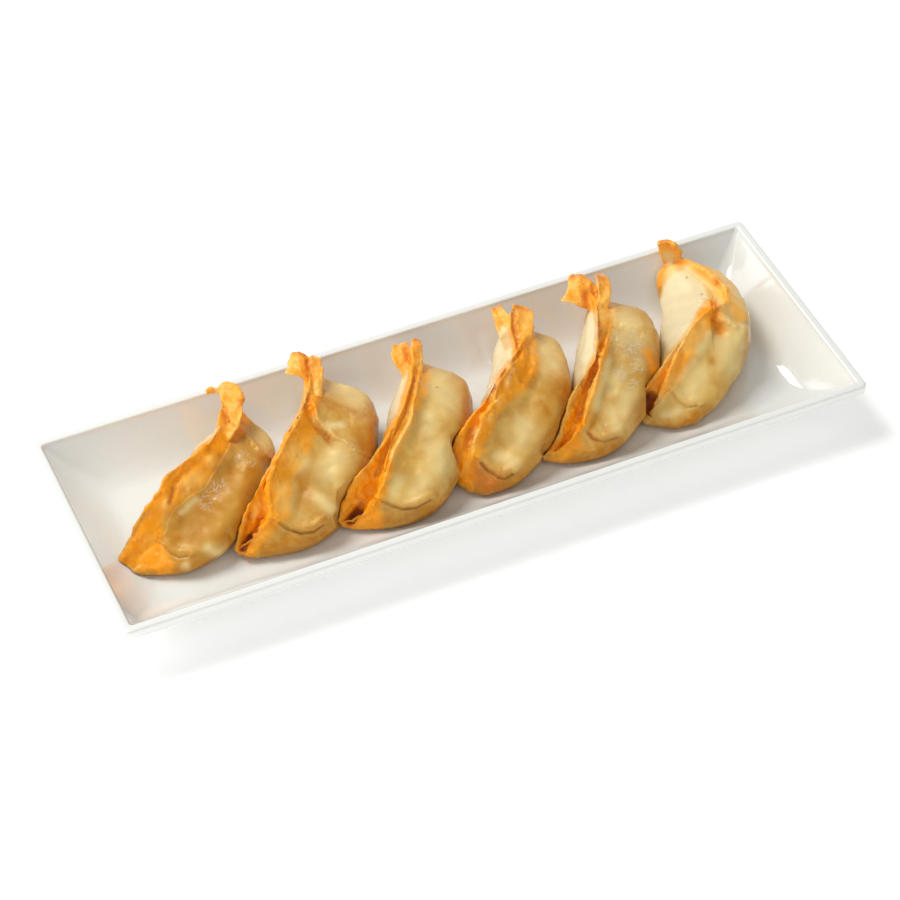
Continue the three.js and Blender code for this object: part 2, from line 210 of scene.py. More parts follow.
# dumplings, in millimetres and degrees, with their sizes at these parts of the way along them
marks = np.array([0, 0.05, 0.12, 0.2, 0.3, 0.4, 0.5, 0.6, 0.7, 0.8, 0.9, 1])
dough = {
    "sheet": 1.2, "keelUp": 1.2, "heelUp": 9, "foldThickness": 1.6, "gapToPlate": 0.3, "gapBetween": 0.5,
    "toeEnd": 0.12, "heelStart": 0.7, "heelRun": 0.3, "widestUp": 0.33, "kick": 0.14, "lipDepth": 0.25,
    "slowWaver": 0.5, "slowTurns": 31, "fastWaver": 0.3, "fastTurns": 57,
    "rings": 150, "ringsToEnds": 0.6, "poleOut": 0.5, "voxel": 0.38, "relaxRounds": 2,
    "leafRings": 40, "leafAround": 48, "leafRoundness": 0.6, "ruffleHeight": 0.35, "ruffleTurns": 9,
    "aroundSteps": [10, 5, 22, 24, 24, 16, 8, 6, 8, 8, 6, 10, 18, 16, 10, 5, 10],
}
outlinePoints = len(dough["aroundSteps"])

dumplings = [
    {
        "near": (-137.2, -10.3), "heading": 41, "length": 81, "groove": 0.5,
        "seamAcross": [-1.5, -1, 0, 1.5, 4, 5, 8, 11, 10.5, 9.5, 7.5, 7],
        "seamUp": [3, 7, 11.5, 17.5, 22.5, 25, 26, 26, 25.5, 23, 17.5, 13],
        "gape": [0, 0, 0, 0, 0, 0, 0, 0, 0, 0, 0, 0],
        "skirt": [0, 3, 6, 9, 10, 10, 9, 7.5, 5.5, 4.5, 2.5, 0],
        "front": [5, 13.5, 23.5, 28.5, 32.5, 34, 33, 32, 30.5, 28.5, 25.5, 9],
        "back": [-1, -1.5, -2, -2, -1.5, -1, 0, 0, 0, 1.5, 3.5, 6],
        "chin": [0, 0, 0.3, 0.9, 0.6, 0, 0, 0, 0, 0, 0, 0],
        "creases": [(0.66, 0.045, 1.6), (0.12, 0.04, 0.6)],
        "curls": [
            {"line": [(58, 12, 22), (65, 12, 25.5), (71, 10, 27), (75.5, 6, 27.5), (76, 1.5, 27),
                      (73.5, -2.5, 25)],
             "widths": [7, 8.5, 9, 8, 6, 2.5], "across": (0.6, 0.8, 0.2), "hollow": 1},
        ],
    },
    {
        "near": (-95.2, -20.7), "heading": 52, "length": 84.5, "groove": 0.9,
        "seamAcross": [-1, -0.5, 1, 3.5, 6, 8, 9, 10.5, 10, 8, 6.5, 9],
        "seamUp": [4, 8.5, 14.5, 20, 25, 28, 29.5, 29.5, 28.5, 26.5, 22.5, 13],
        "gape": [0, 5, 8, 3.5, 0.5, 0, 0, 0, 0, 0.5, 1, 0],
        "skirt": [0, 3, 5, 7, 8, 8, 7.5, 6, 4.5, 3.5, 2.5, 0],
        "front": [6, 16.5, 26, 31.5, 35.5, 38, 38, 38, 37, 35, 31.5, 12],
        "back": [-1, -1, 0, 1.5, 2.5, 4, 4.5, 5, 5, 4.5, 4, 8],
        "chin": [0, 0, 0.4, 1, 0.9, 0.5, 0, 0, 0, 0, 0, 0],
        "creases": [(0.5, 0.04, 2), (0.66, 0.05, 1.6)],
        "curls": [
            {"line": [(76, 8, 23), (76.5, 3, 26), (76.5, -0.5, 25.5), (76, -2.4, 23.5)],
             "widths": [9, 11.5, 11.5, 8], "across": (1, 0, 0.1), "hollow": 1},
            {"line": [(60, 11, 23), (67, 11, 26.5), (75, 9, 27), (83, 6.5, 25.5)],
             "widths": [4, 5.5, 5.5, 3.5], "across": (0.3, 0.9, -0.4), "hollow": 0.6},
        ],
    },
    {
        "near": (-55.2, -23.7), "heading": 51, "length": 80, "groove": 0.9,
        "seamAcross": [-1, -0.5, 1.5, 5.5, 9.5, 11.5, 12.5, 12.5, 11.5, 9, 6.5, 7],
        "seamUp": [4, 8.5, 14.5, 20, 25, 28, 29.5, 29.5, 28.5, 26.5, 22.5, 13],
        "gape": [0, 8, 9, 6, 2, 0.6, 0.3, 0, 0, 0.5, 1, 0],
        "skirt": [0, 2, 4, 5, 5, 5, 5, 5, 4.5, 3.5, 2.5, 0],
        "front": [5, 17.5, 27, 33, 36, 37, 35.5, 35, 34.5, 33, 29.5, 10],
        "back": [-1, -1, 0.5, 2.5, 4.5, 5, 5, 3.5, 3, 3.5, 4, 6],
        "chin": [0, 0, 0.3, 1, 1, 0.6, 0.1, 0, 0, 0, 0, 0],
        "creases": [(0.56, 0.05, 1.2)],
        "curls": [
            {"line": [(63, 9, 20.5), (68, 5.5, 23), (72.5, 2.5, 24), (76.5, 0.5, 23.5)],
             "widths": [5, 7.5, 8, 5], "across": (0.5, 0.8, 0.3), "hollow": 1},
            {"line": [(60, 11, 23), (67, 10.5, 25.5), (73, 8.5, 26), (79, 6.5, 25)],
             "widths": [4, 5, 4.5, 2.5], "across": (0.3, 0.9, -0.4), "hollow": 0.5},
        ],
    },
    {
        "near": (-12, -21.4), "heading": 51, "length": 79, "groove": 0.35,
        "seamAcross": [10, 2, 1, 4, 8, 10, 12, 14, 15, 14, 10, 8],
        "seamUp": [4, 10.5, 16.5, 21.5, 25.5, 28, 29.5, 29.5, 29, 26.5, 22.5, 13],
        "gape": [0, 3, 5.5, 4, 3, 1.5, 0, 0, 0, 1, 1.5, 0],
        "skirt": [0, 4, 8, 9, 9, 8.5, 7.5, 6.5, 5.5, 4, 2.5, 0],
        "front": [16, 21.5, 27.5, 30.5, 34, 37, 37, 36.5, 34.5, 31.5, 27, 11],
        "back": [8, 1, -0.5, 0, 1.5, 3.5, 4, 4, 3.5, 2, 1.5, 7],
        "chin": [0, 0, 0.4, 1, 0.9, 0.3, 0, 0, 0, 0, 0, 0],
        "creases": [(0.62, 0.05, 1.5)],
        "curls": [
            {"line": [(58, 10.5, 19), (64, 7, 23), (69, 3.8, 25), (75, 0, 25.5)],
             "widths": [6, 6.5, 6.5, 4.5], "across": (0.2, 0.9, 0.3), "hollow": 0.8},
            {"line": [(58, 14, 23), (64, 12.5, 26.5), (71, 11, 27.5), (77, 8, 26.5)],
             "widths": [5, 9, 10, 5], "across": (0.2, 0.9, -0.1), "hollow": 0.8},
        ],
    },
    {
        "near": (27.4, -24.2), "heading": 56.5, "length": 78.5, "groove": 0.9,
        "seamAcross": [0, 3.5, 5.5, 7.5, 11, 14.5, 14, 13, 12, 10.5, 8.5, 10],
        "seamUp": [4, 7.5, 13.5, 20, 25, 28.5, 30, 30, 29.5, 28, 23.5, 13],
        "gape": [0, 3, 6, 5, 3.5, 1.5, 0, 0, 0, 0.5, 1, 0],
        "skirt": [0, 2, 4, 5, 5, 5, 4.5, 4, 3.5, 3, 3, 0],
        "front": [8, 19, 26.5, 31, 34.5, 37, 38.5, 38, 37, 34.5, 31, 13],
        "back": [-1, 0, 2, 3.5, 6, 5.5, 5, 5, 5, 5.5, 6, 9],
        "chin": [0, 0, 0.4, 1, 0.9, 0.3, 0, 0, 0, 0, 0, 0],
        "creases": [(0.72, 0.05, 1.8)],
        "curls": [
            {"line": [(68, 9, 22), (69, 3.5, 25), (70.5, -0.5, 24.5), (71.5, -2.5, 23)],
             "widths": [11, 15, 15, 10], "across": (1, 0.1, 0.1), "hollow": 2},
            {"line": [(59, 12.5, 24), (66, 13, 27.5), (73, 11.5, 28), (79, 9, 26.5)],
             "widths": [4, 5, 6, 4], "across": (0.2, 0.9, -0.3), "hollow": 0.8},
        ],
    },
    {
        "near": (66.9, -20.4), "heading": 56.5, "length": 82, "groove": 0.8,
        "seamAcross": [8, 1, 4, 9, 14.5, 19, 24.5, 29, 28, 21, 12, 6],
        "seamUp": [4, 7.5, 13, 19, 25, 27.5, 27.5, 26, 24.5, 23.5, 21, 13],
        "gape": [0, 5, 5, 2.5, 0.8, 0, 0, 0, 0, 0.5, 1, 0],
        "skirt": [0, 3, 5, 6, 7, 7, 6, 4.5, 4, 4, 2.5, 0],
        "front": [17, 23.5, 28.5, 32.5, 36, 38.5, 39.5, 39, 36.5, 33, 27, 10],
        "back": [4, 0, 1.5, 5.5, 6, 5, 5, 5, 4, 1.5, -0.5, 4],
        "chin": [0, 0, 0.4, 1, 0.9, 0.4, 0, 0, 0, 0, 0, 0],
        "creases": [(0.46, 0.035, 2.2)],
        "curls": [
            {"line": [(77, 8, 10), (79, 5.5, 15.5), (79.5, 3.5, 20), (78.5, 2.5, 24.5)],
             "widths": [7.5, 9, 8.5, 7], "across": (0, 1, 0.05), "hollow": 1},
        ],
    },
]

# what the frying did to each one where it faces the camera, and the shade and highlights painted on it, in
# pixels of the rendered frame, with every line as u, v, u, v and so on: orange and cream are outlines of
# crisp and pale dough, smile is the fold under the filling, folds are (depth, width, line) grooves, or ridges
# when the depth is below zero, steps are (height, run, line) edges of a layer that lies on the left of its
# line's direction, bumps are (u, v, radius, height), and pockets, soft and tints are strokes of (half width,
# line); the gold tints are partly browning and partly painted shade on the low and right sides, the rust and
# filling tints are partly painted shade in creases and along layer edges, the light tints are partly paler
# dough and partly painted highlights and painted light on shaded faces, and the pockets' dark is partly
# painted shade; depths, heights, runs and the widths of folds are in millimetres
frying = [
    {
        "fried": 1.6, "smileDeep": 0.6, "smile": (165, 548, 171, 554, 178, 557.5, 188, 556),
        "orange": [(118, 566, 140, 524, 153, 492, 184, 462, 214, 438, 221, 425, 218, 405, 205, 392, 225, 384,
            242, 396, 249, 420, 243, 434, 232, 444, 222, 458, 213, 472, 203, 487, 186, 497, 174, 507,
            164, 519, 162, 538, 168, 556, 172, 576)],
        "cream": [(184, 460, 200, 437, 212, 427, 222, 428, 214, 438, 198, 450)],
        "folds": [(-0.6, 0.9, 238, 430, 247, 441, 257, 451, 274, 464),
            (0.6, 1.2, 197, 463, 185, 473, 175, 486, 171, 502),
            (0.9, 1.0, 212, 396, 219, 402, 224, 411, 228, 424), (0.7, 1.8, 233, 441, 237, 455, 233, 470),
            (0.4, 1.2, 140, 556, 150, 545, 163, 541)],
        "steps": [(0.25, 6, 230, 444, 222, 457, 215, 470, 205, 486, 190, 496, 176, 508, 167, 522, 164, 540),
            (0.9, 4, 238, 430, 247, 441, 257, 451, 274, 464)],
        "bumps": [(210, 461, 6, 1.3), (165, 504, 7, 0.9), (178, 520, 4, 0.5), (188, 484, 9, 0.9),
            (203, 448, 6, 0.9), (148, 530, 6, 0.4), (236, 456, 7, 0.6), (246, 467, 7, 0.6),
            (222, 528, 5, 0.4)],
        "pockets": [],
        "dots": [(212.5, 429.5), (226, 415), (229, 421)],
        "tints": {
            "gold": [(8, 223, 536), (5, 192, 541), (7, 254, 470, 247, 500, 236, 527),
                (12, 226, 474, 206, 504, 196, 528), (8, 180, 518, 176, 538), (5, 262, 456, 270, 462),
                (9, 170, 570, 200, 568, 228, 558)],
            "amber": [(5, 196, 464), (6, 206, 449, 220, 437), (5, 128, 556, 142, 536, 152, 515),
                (4, 158, 497, 172, 482, 186, 470), (4, 271, 455, 272, 460), (6, 152, 560, 168, 566)],
            "rust": [(2.6, 212, 396, 219, 402, 224, 411, 228, 422), (2.5, 242, 402, 245, 415),
                (2.5, 172, 490, 170, 503)],
            "light": [(5, 210, 461), (5, 166, 504), (8, 186, 484, 196, 476), (3, 182, 512, 196, 498),
                (7, 262, 436, 268, 446), (5, 232, 392, 236, 408), (5, 208, 548, 224, 556), (4, 186, 566)],
            "filling": [(8, 223, 460, 214, 478, 205, 489), (10, 221, 468, 212, 484), (10, 232, 446, 236, 458),
                (12, 190, 514, 200, 506), (10, 186, 528)],
            "wet": [(9, 207, 502, 220, 486), (6, 240, 456, 252, 462)],
        },
    },
    {
        "fried": 1.0, "smileDeep": 1.0, "smile": (279, 523, 289, 530, 301, 533.5, 315, 532, 324, 525),
        "orange": [(236, 550, 240, 535, 248, 506, 260, 484, 273, 463, 286, 437, 302, 414, 309, 390, 290, 382,
            292, 366, 302, 352, 316, 352, 324, 366, 322, 385, 318, 400, 314, 418, 318, 430, 308, 452,
            300, 465, 292, 480, 291, 500, 290, 516, 280, 526, 262, 545, 250, 560)],
        "cream": [],
        "folds": [(1.3, 1.2, 307, 402, 311, 416, 319, 428, 331, 438),
            (-1.1, 2.4, 318, 398, 331, 403, 346, 408, 361, 412, 372, 421),
            (0.9, 1.8, 320, 413, 334, 417, 349, 420), (-0.6, 1.8, 331, 434, 341, 443, 351, 448),
            (0.5, 2.0, 328, 470, 334, 480), (0.5, 1.8, 303, 492, 299, 510),
            (0.7, 0.9, 308, 362, 313, 375, 314, 395)],
        "steps": [(1.1, 3, 297, 420, 285, 440, 274, 462, 267, 484, 266, 500, 270, 514, 262, 527, 252, 539,
            246, 553), (1.5, 5, 311, 403, 316, 420, 331, 438, 346, 446)],
        "bumps": [(276, 470, 6, 0.4), (283, 496, 8, 0.7), (292, 455, 8, 0.5), (256, 508, 5, 0.5),
            (256, 522, 4, 0.5), (336, 455, 10, 0.7), (350, 385, 9, 0.6), (330, 376, 7, 0.5),
            (318, 500, 12, 0.5)],
        "pockets": [(2.8, 252, 536, 246, 545, 243, 550)],
        "dots": [],
        "tints": {
            "gold": [(5, 323, 517), (13, 372, 408, 380, 428, 380, 452, 368, 480, 352, 504),
                (8, 302, 478, 308, 500), (4, 322, 403, 345, 410, 362, 416), (5, 357, 430, 362, 450),
                (3, 345, 448, 352, 456), (12, 262, 550, 288, 546, 312, 542, 335, 530),
                (4, 283, 482, 290, 472)],
            "amber": [(4, 307, 427), (2.2, 290, 430, 276, 456, 268, 480, 266, 498, 270, 512),
                (6, 296, 374, 300, 366), (3, 243, 530, 250, 508, 262, 484), (4, 314, 400, 312, 412)],
            "rust": [(3, 307, 362, 312, 366), (2.5, 296, 354, 306, 355), (3, 262, 520, 256, 530, 248, 542),
                (3, 250, 540, 260, 522), (1.5, 318, 426, 329, 437), (2.5, 244, 536, 250, 514)],
            "light": [(7, 283, 489, 283, 506), (9, 292, 450, 300, 462), (3.5, 328, 425, 342, 424),
                (12, 338, 456, 328, 472), (13, 345, 384, 358, 396), (6, 318, 498, 330, 508),
                (3.5, 316, 358, 321, 378, 316, 394), (3, 258, 506, 256, 514)],
            "filling": [(8, 302, 494, 298, 512), (3, 326, 438, 332, 441), (8, 312, 478, 322, 486)],
            "wet": [(5, 332, 424, 344, 424), (3, 363, 411)],
        },
    },
    {
        "fried": 0.85, "smileDeep": 0.9, "smile": (382, 501, 392, 506, 404, 509.5, 418, 508, 431, 500.5),
        "orange": [(337, 522, 343, 503, 353, 484, 375, 455, 386, 433, 399, 421, 403, 405, 408, 388, 405, 372,
            391, 352, 393, 342, 404, 340, 420, 344, 427, 362, 429, 382, 424, 398, 414, 414, 410, 428,
            400, 444, 393, 464, 387, 486, 383, 504, 376, 528, 358, 542)],
        "cream": [(385, 428, 390, 402, 401, 378, 411, 366, 404, 392, 398, 414)],
        "folds": [(0.5, 1.0, 415, 376, 410, 398, 405, 417, 393, 436, 385, 454, 377, 474, 369, 494),
            (0.9, 3.0, 459, 486, 453, 470, 452, 452), (0.7, 0.9, 405, 344, 407, 358, 410, 366),
            (0.4, 2.2, 424, 404, 421, 424, 412, 446), (0.6, 1.4, 360, 509, 354, 517, 350, 522)],
        "steps": [(1.0, 2.4, 417, 378, 413, 400, 410, 420, 400, 437, 393, 449, 389, 464, 382, 484, 374, 502)],
        "bumps": [(367, 477, 3.5, 0.6), (358, 500, 4, 0.7), (362, 487, 3, 0.5), (374, 462, 3, 0.5),
            (432, 456, 9, 0.6), (402, 352, 4, 0.5), (440, 394, 10, 0.5), (424, 484, 12, 0.5)],
        "pockets": [(3.4, 359, 511, 354, 517, 350, 522)],
        "dots": [(436.7, 388.3)],
        "tints": {
            "gold": [(7, 452, 382, 466, 404, 469, 420, 460, 438), (5, 455, 488, 442, 504, 425, 516),
                (9, 385, 522, 408, 520, 432, 512), (5, 462, 470, 460, 484)],
            "amber": [(3.5, 410, 385, 403, 410, 392, 432, 378, 460, 362, 485), (4, 346, 504, 353, 490),
                (5, 395, 350, 400, 362), (5, 362, 528, 378, 524)],
            "rust": [(1.6, 415, 378, 409, 400, 404, 418, 392, 437, 384, 456, 376, 476),
                (5, 362, 505, 352, 518), (2.5, 405, 346, 408, 362), (2, 466, 413, 464, 420),
                (2.5, 391, 343, 396, 346), (2.5, 413, 340, 420, 342)],
            "light": [(3, 367, 477), (3.5, 358, 501), (2.4, 412, 408, 409, 424, 398, 442, 391, 458),
                (12, 436, 448, 440, 466), (9, 430, 416, 428, 430), (15, 440, 384, 446, 398),
                (8, 424, 480, 414, 492), (4, 420, 352, 424, 366), (6, 398, 480, 394, 492)],
            "filling": [(7, 423, 399), (8, 421, 422, 414, 442), (9, 408, 476, 412, 482),
                (7, 392, 510, 412, 513)],
            "wet": [(3, 428, 442)],
        },
    },
    {
        "fried": 1.0, "smileDeep": 1.0, "smile": (481, 463, 488, 471, 497, 477, 505, 479, 513, 474),
        "orange": [(450, 458, 453, 440, 468, 416, 482, 404, 494, 393, 507, 368, 514, 356, 512, 340, 496, 328,
            488, 316, 497, 304, 514, 304, 530, 312, 536, 340, 540, 362, 532, 380, 520, 394, 507, 404,
            494, 420, 487, 440, 480, 456, 477, 472, 472, 492, 456, 480)],
        "cream": [(480, 404, 486, 380, 494, 345, 500, 322, 509, 326, 514, 345, 512, 362, 498, 385)],
        "folds": [(0.9, 1.1, 491, 402, 480, 412, 473, 428, 469, 446),
            (1.0, 0.9, 514, 310, 514, 330, 519, 346, 520, 358), (0.5, 1.4, 530, 346, 530, 366, 523, 382),
            (0.4, 1.6, 505, 406, 494, 428, 486, 446), (0.5, 2.0, 540, 370, 534, 392, 528, 404)],
        "steps": [(0.9, 2.4, 495, 400, 484, 411, 478, 427, 474, 440, 472, 454),
            (0.7, 3, 516, 360, 506, 371, 497, 383, 490, 397)],
        "bumps": [(507, 384, 4, 0.7), (512, 372, 4, 0.7), (497, 400, 5, 0.5), (489, 418, 4, 0.6),
            (502, 412, 4, 0.5), (503, 332, 6, 0.6), (545, 352, 8, 0.5), (520, 430, 10, 0.6),
            (516, 456, 8, 0.5)],
        "pockets": [],
        "dots": [(495, 385), (495.5, 389), (514, 309)],
        "tints": {
            "gold": [(8, 549, 366, 562, 386, 566, 408, 558, 430, 546, 450), (5, 535, 372, 528, 384),
                (10, 478, 486, 505, 488, 528, 476), (4, 541, 404, 548, 414)],
            "amber": [(4, 456, 446, 466, 426, 478, 410), (5, 492, 312, 495, 322), (5, 520, 352, 526, 368),
                (4, 508, 364, 498, 380), (3, 466, 440, 462, 452)],
            "rust": [(2.4, 514, 309, 514, 330, 519, 348), (9, 478, 474, 492, 484), (3, 470, 430, 466, 446),
                (3, 452, 450, 456, 462), (2, 496, 384, 492, 394), (2.8, 493, 308, 499, 306),
                (2.8, 517, 305, 531, 308)],
            "light": [(2.4, 480, 420, 475, 436, 472, 450), (3, 511, 371), (3, 507, 384), (5, 497, 402),
                (6, 524, 320, 528, 334), (12, 545, 350, 552, 362), (11, 524, 426, 520, 440),
                (7, 500, 456, 514, 462), (4, 489, 418)],
            "filling": [(7, 528, 401), (8, 540, 376), (7, 512, 438), (6, 527, 446), (6, 500, 412, 494, 430)],
            "wet": [(3, 507, 381, 511, 372), (3, 474, 440, 476, 430)],
        },
    },
    {
        "fried": 0.9, "smileDeep": 0.7, "smile": (587, 431, 594, 440, 604, 441.5, 619, 437),
        "orange": [(546, 465, 552, 446, 562, 436, 568, 415, 577, 396, 588, 374, 597, 355, 600, 332, 597, 312,
            584, 318, 562, 299, 577, 276, 592, 276, 606, 284, 614, 302, 616, 322, 608, 342, 604, 367,
            595, 396, 586, 424, 580, 444, 566, 460)],
        "cream": [(571, 392, 573, 355, 581, 320, 594, 306, 598, 330, 596, 352, 586, 374)],
        "folds": [(1.5, 1.1, 602, 345, 596, 362, 589, 384, 583, 402, 577, 421),
            (0.7, 1.5, 614, 322, 622, 329, 640, 333), (0.5, 1.6, 613, 352, 617, 368),
            (0.5, 1.8, 608, 392, 601, 410), (0.9, 1.0, 594, 284, 596, 300, 601, 322)],
        "steps": [(0.9, 2.2, 606, 340, 601, 358, 594, 386, 588, 404, 582, 424),
            (0.6, 1.6, 578, 420, 583, 404, 589, 386, 596, 364, 601, 344)],
        "bumps": [(565, 432, 3, 0.5), (625, 345, 8, 0.7), (640, 368, 9, 0.5), (618, 395, 8, 0.5),
            (604, 330, 4, 0.6), (608, 430, 7, 0.6), (606, 300, 4, 0.5)],
        "pockets": [],
        "dots": [],
        "tints": {
            "gold": [(6, 642, 348, 652, 362, 652, 384, 645, 402, 638, 418), (4, 607, 430),
                (10, 566, 458, 592, 457, 618, 446), (3, 596, 416, 590, 428), (4, 622, 330, 636, 336)],
            "amber": [(4, 570, 296, 580, 286), (3, 566, 432, 574, 412, 584, 392), (4, 572, 436, 578, 446),
                (4, 648, 352, 654, 370), (3, 606, 340, 604, 356)],
            "rust": [(3, 584, 292, 586, 306), (2.4, 598, 358, 591, 380, 584, 400, 578, 418),
                (2.5, 552, 448, 562, 442), (2, 598, 322, 599, 336), (2, 588, 434, 596, 441),
                (2.8, 570, 277, 582, 276), (2.5, 596, 275, 604, 279)],
            "light": [(3.5, 606, 288, 612, 306, 614, 324), (6, 596, 404, 602, 380, 606, 362),
                (4, 600, 300, 603, 318), (8, 612, 412, 616, 426), (9, 626, 396, 622, 412),
                (12, 626, 322, 634, 344), (8, 618, 372, 612, 390)],
            "filling": [(5, 616, 354, 617, 368), (5, 609, 388, 604, 398), (9, 632, 350, 630, 376)],
            "wet": [(12, 620, 340, 634, 338), (11, 630, 358, 636, 368), (9, 621, 372, 630, 382),
                (3, 600, 428, 606, 425)],
        },
    },
    {
        "fried": 0.45, "smileDeep": 0.55, "smile": (672, 393, 678, 402, 687, 408, 697, 406),
        "orange": [(632, 414, 638, 398, 648, 384, 673, 357, 690, 331, 700, 311, 711, 303, 718, 308, 713, 326,
            704, 336, 696, 350, 687, 364, 680, 378, 668, 394, 654, 405, 640, 424), (650, 262, 651, 240,
            676, 240, 680, 257, 690, 258, 682, 264, 672, 268, 663, 274, 656, 272), (684, 256, 700, 259,
            716, 267, 730, 282, 740, 300, 746, 318, 738, 326, 728, 308, 718, 294, 706, 280, 692, 270)],
        # the second cream outline and the light strokes at the tip paint light on its shaded face
        "cream": [(660, 362, 655, 310, 661, 290, 672, 272, 688, 268, 704, 282, 710, 300, 700, 310, 688, 332),
            (661, 254, 668, 250, 676, 254, 674, 266, 665, 272)],
        "folds": [(3.8, 2.2, 717, 313, 719, 320, 720, 328),
            (-1.3, 1.1, 703, 303, 712, 304, 722, 313, 735, 327), (0.6, 1.2, 684, 351, 680, 368, 673, 384),
            (0.5, 1.2, 655, 246, 664, 252, 668, 262)],
        "steps": [(0.8, 2.4, 668, 392, 658, 402, 650, 410, 643, 418), (0.6, 3, 713, 332, 713, 320, 712, 306)],
        "bumps": [(716, 279, 5, 0.6), (660, 244, 3, 0.5), (675, 246, 3, 0.5), (700, 350, 10, 0.5),
            (690, 380, 10, 0.5), (682, 362, 4, 0.5), (668, 378, 5, 0.5)],
        "pockets": [(4.6, 650, 398, 645, 406, 643, 411)],
        "soft": [(13, 694, 258, 706, 267, 718, 279, 729, 294, 733, 308)], "softAbove": 15,
        "dots": [(701.7, 294.7), (686.7, 277.8)],
        "tints": {
            "gold": [(4, 713, 362), (3, 698, 288), (2.5, 744, 312, 748, 340, 741, 370),
                (6, 655, 430, 680, 426, 708, 411), (4, 716, 280), (3, 662, 278, 657, 300)],
            "amber": [(6, 676, 370, 684, 358), (4, 662, 380, 650, 392), (3, 664, 264, 660, 284),
                (3, 712, 305, 700, 316), (3, 682, 262, 690, 260), (4.5, 717, 312, 719, 321, 721, 329)],
            "rust": [(3, 652, 396, 646, 406), (2.2, 712, 304, 718, 308), (2.5, 657, 240, 668, 242),
                (2, 714, 278, 719, 283), (2.5, 652, 246, 656, 242), (2, 639, 414, 646, 416)],
            "light": [(13, 690, 262, 706, 268, 722, 281, 733, 298, 740, 314),
                (11, 660, 252, 672, 256, 670, 266), (8, 655, 394, 668, 378, 684, 358, 700, 330),
                (6, 706, 334, 698, 352), (4, 667, 258, 668, 266), (10, 700, 374, 690, 392),
                (12, 726, 340, 730, 362), (4, 660, 386, 668, 378), (4, 664, 414, 678, 410),
                (9, 740, 326, 737, 344), (5, 702, 322, 700, 336), (6, 690, 362, 680, 374)],
            "filling": [(3, 719, 324, 720, 329)],
            "wet": [],
        },
    },
]


# the smooth curve through a list of sizes at the marks, with no overshoot between them
def sizesAt(values, t):
    values = np.array(values, float)
    slopes = np.diff(values) / np.diff(marks)
    product, total = slopes[1:] * slopes[:-1], slopes[1:] + slopes[:-1]
    inner = np.where(product > 0, 2 * product / np.where(total == 0, 1, total), 0)
    tangents = np.concatenate((slopes[:1], inner, slopes[-1:]))
    i = np.clip(np.searchsorted(marks, t, side="right") - 1, 0, len(marks) - 2)
    span = marks[i + 1] - marks[i]
    u = (t - marks[i]) / span
    rise = (u**3 - 2 * u**2 + u) * tangents[i] * span + (u**3 - u**2) * tangents[i + 1] * span
    return mix(values[i], values[i + 1], 3 * u**2 - 2 * u**3) + rise


# the outline points of the sections at t, as [across, up] above the floor, turning from the valley
# between the layers down the right side, under the body and up the left side
def sectionsAt(d, t):
    names = ["seamAcross", "seamUp", "gape", "skirt", "front", "back", "chin"]
    seamAt, seamUp, gape, skirt, front, back, chin = [sizesAt(d[name], t) for name in names]
    waver = np.sin(np.pi * t)
    slow = dough["slowWaver"] * waver * np.sin(dough["slowTurns"] * t + d["heading"])
    crest = seamUp + slow + dough["fastWaver"] * waver * np.sin(dough["fastTurns"] * t)
    out = sum(size * bell((t - at) / width) for at, width, size in d["creases"])
    toe = np.maximum(1 - t / dough["toeEnd"], 0)
    heel = np.maximum((t - dough["heelStart"]) / dough["heelRun"], 0)
    keel = dough["keelUp"] * toe**1.5 + dough["heelUp"] * heel**1.6
    tall = crest - keel
    layer = dough["sheet"]
    gaping = seamAt + gape
    depth = np.minimum(dough["lipDepth"] + d["groove"] * gape, 0.5 * tall)
    rootUp = crest - np.minimum(0.7 * skirt, 0.3 * tall) - 0.05 * tall
    rootAt = np.minimum(gaping + layer + skirt, mix(gaping + layer, front, 0.7))
    widest = keel + dough["widestUp"] * tall
    kick = dough["kick"] * (front - back)
    points = [
        (mix(seamAt, gaping, 0.5), crest - depth),
        (gaping + 0.1, crest - 0.1 * gape + 0.05),
        (gaping + layer, crest - 0.1 * gape - 0.05 * tall),
        (rootAt + 0.4 * out, rootUp + 0.5 * out),
        (mix(rootAt, front, 0.8) + 0.5 * out, mix(rootUp, widest, 0.27) + 0.8 * out),
        (front + 0.3 * chin, widest),
        (front - 0.12 * kick - 1.7 * chin, keel + 0.2 * tall),
        (front - 0.4 * kick, keel + 0.1 * tall),
        (front - kick, keel),
        (mix(back, front, 0.5), keel),
        (back + kick, keel),
        (back + 0.3 * kick, keel + 0.14 * tall),
        (back, widest + 0.08 * tall),
        (mix(back, seamAt - layer, 0.5), mix(widest, rootUp, 0.72)),
        (seamAt - layer, crest - np.minimum(5, 0.22 * tall)),
        (seamAt - layer, crest - 0.05 * tall),
        (seamAt - 0.1, crest),
    ]
    return np.array([[across, up] for across, up in points]).transpose(2, 0, 1)


# places round a section, as outline points and parts of the way to the next
aroundPlaces = np.concatenate([k + np.arange(n) / n for k, n in enumerate(dough["aroundSteps"])])


# points on the smooth closed curves through the sections' outlines
def skinAt(d, t):
    k = np.floor(aroundPlaces).astype(int)
    u = aroundPlaces - k
    shares = [-0.5 * u + u**2 - 0.5 * u**3, 1 - 2.5 * u**2 + 1.5 * u**3, 0.5 * u + 2 * u**2 - 1.5 * u**3,
              -0.5 * u**2 + 0.5 * u**3]
    weights = np.zeros((len(u), outlinePoints))
    for offset, share in zip((-1, 0, 1, 2), shares):
        weights[np.arange(len(u)), (k + offset) % outlinePoints] += share
    return np.einsum("sk,tkc->tsc", weights, sectionsAt(d, t))


def axesOf(d):
    turn = math.radians(d["heading"])
    return np.array([math.cos(turn), math.sin(turn)]), np.array([math.sin(turn), -math.cos(turn)])


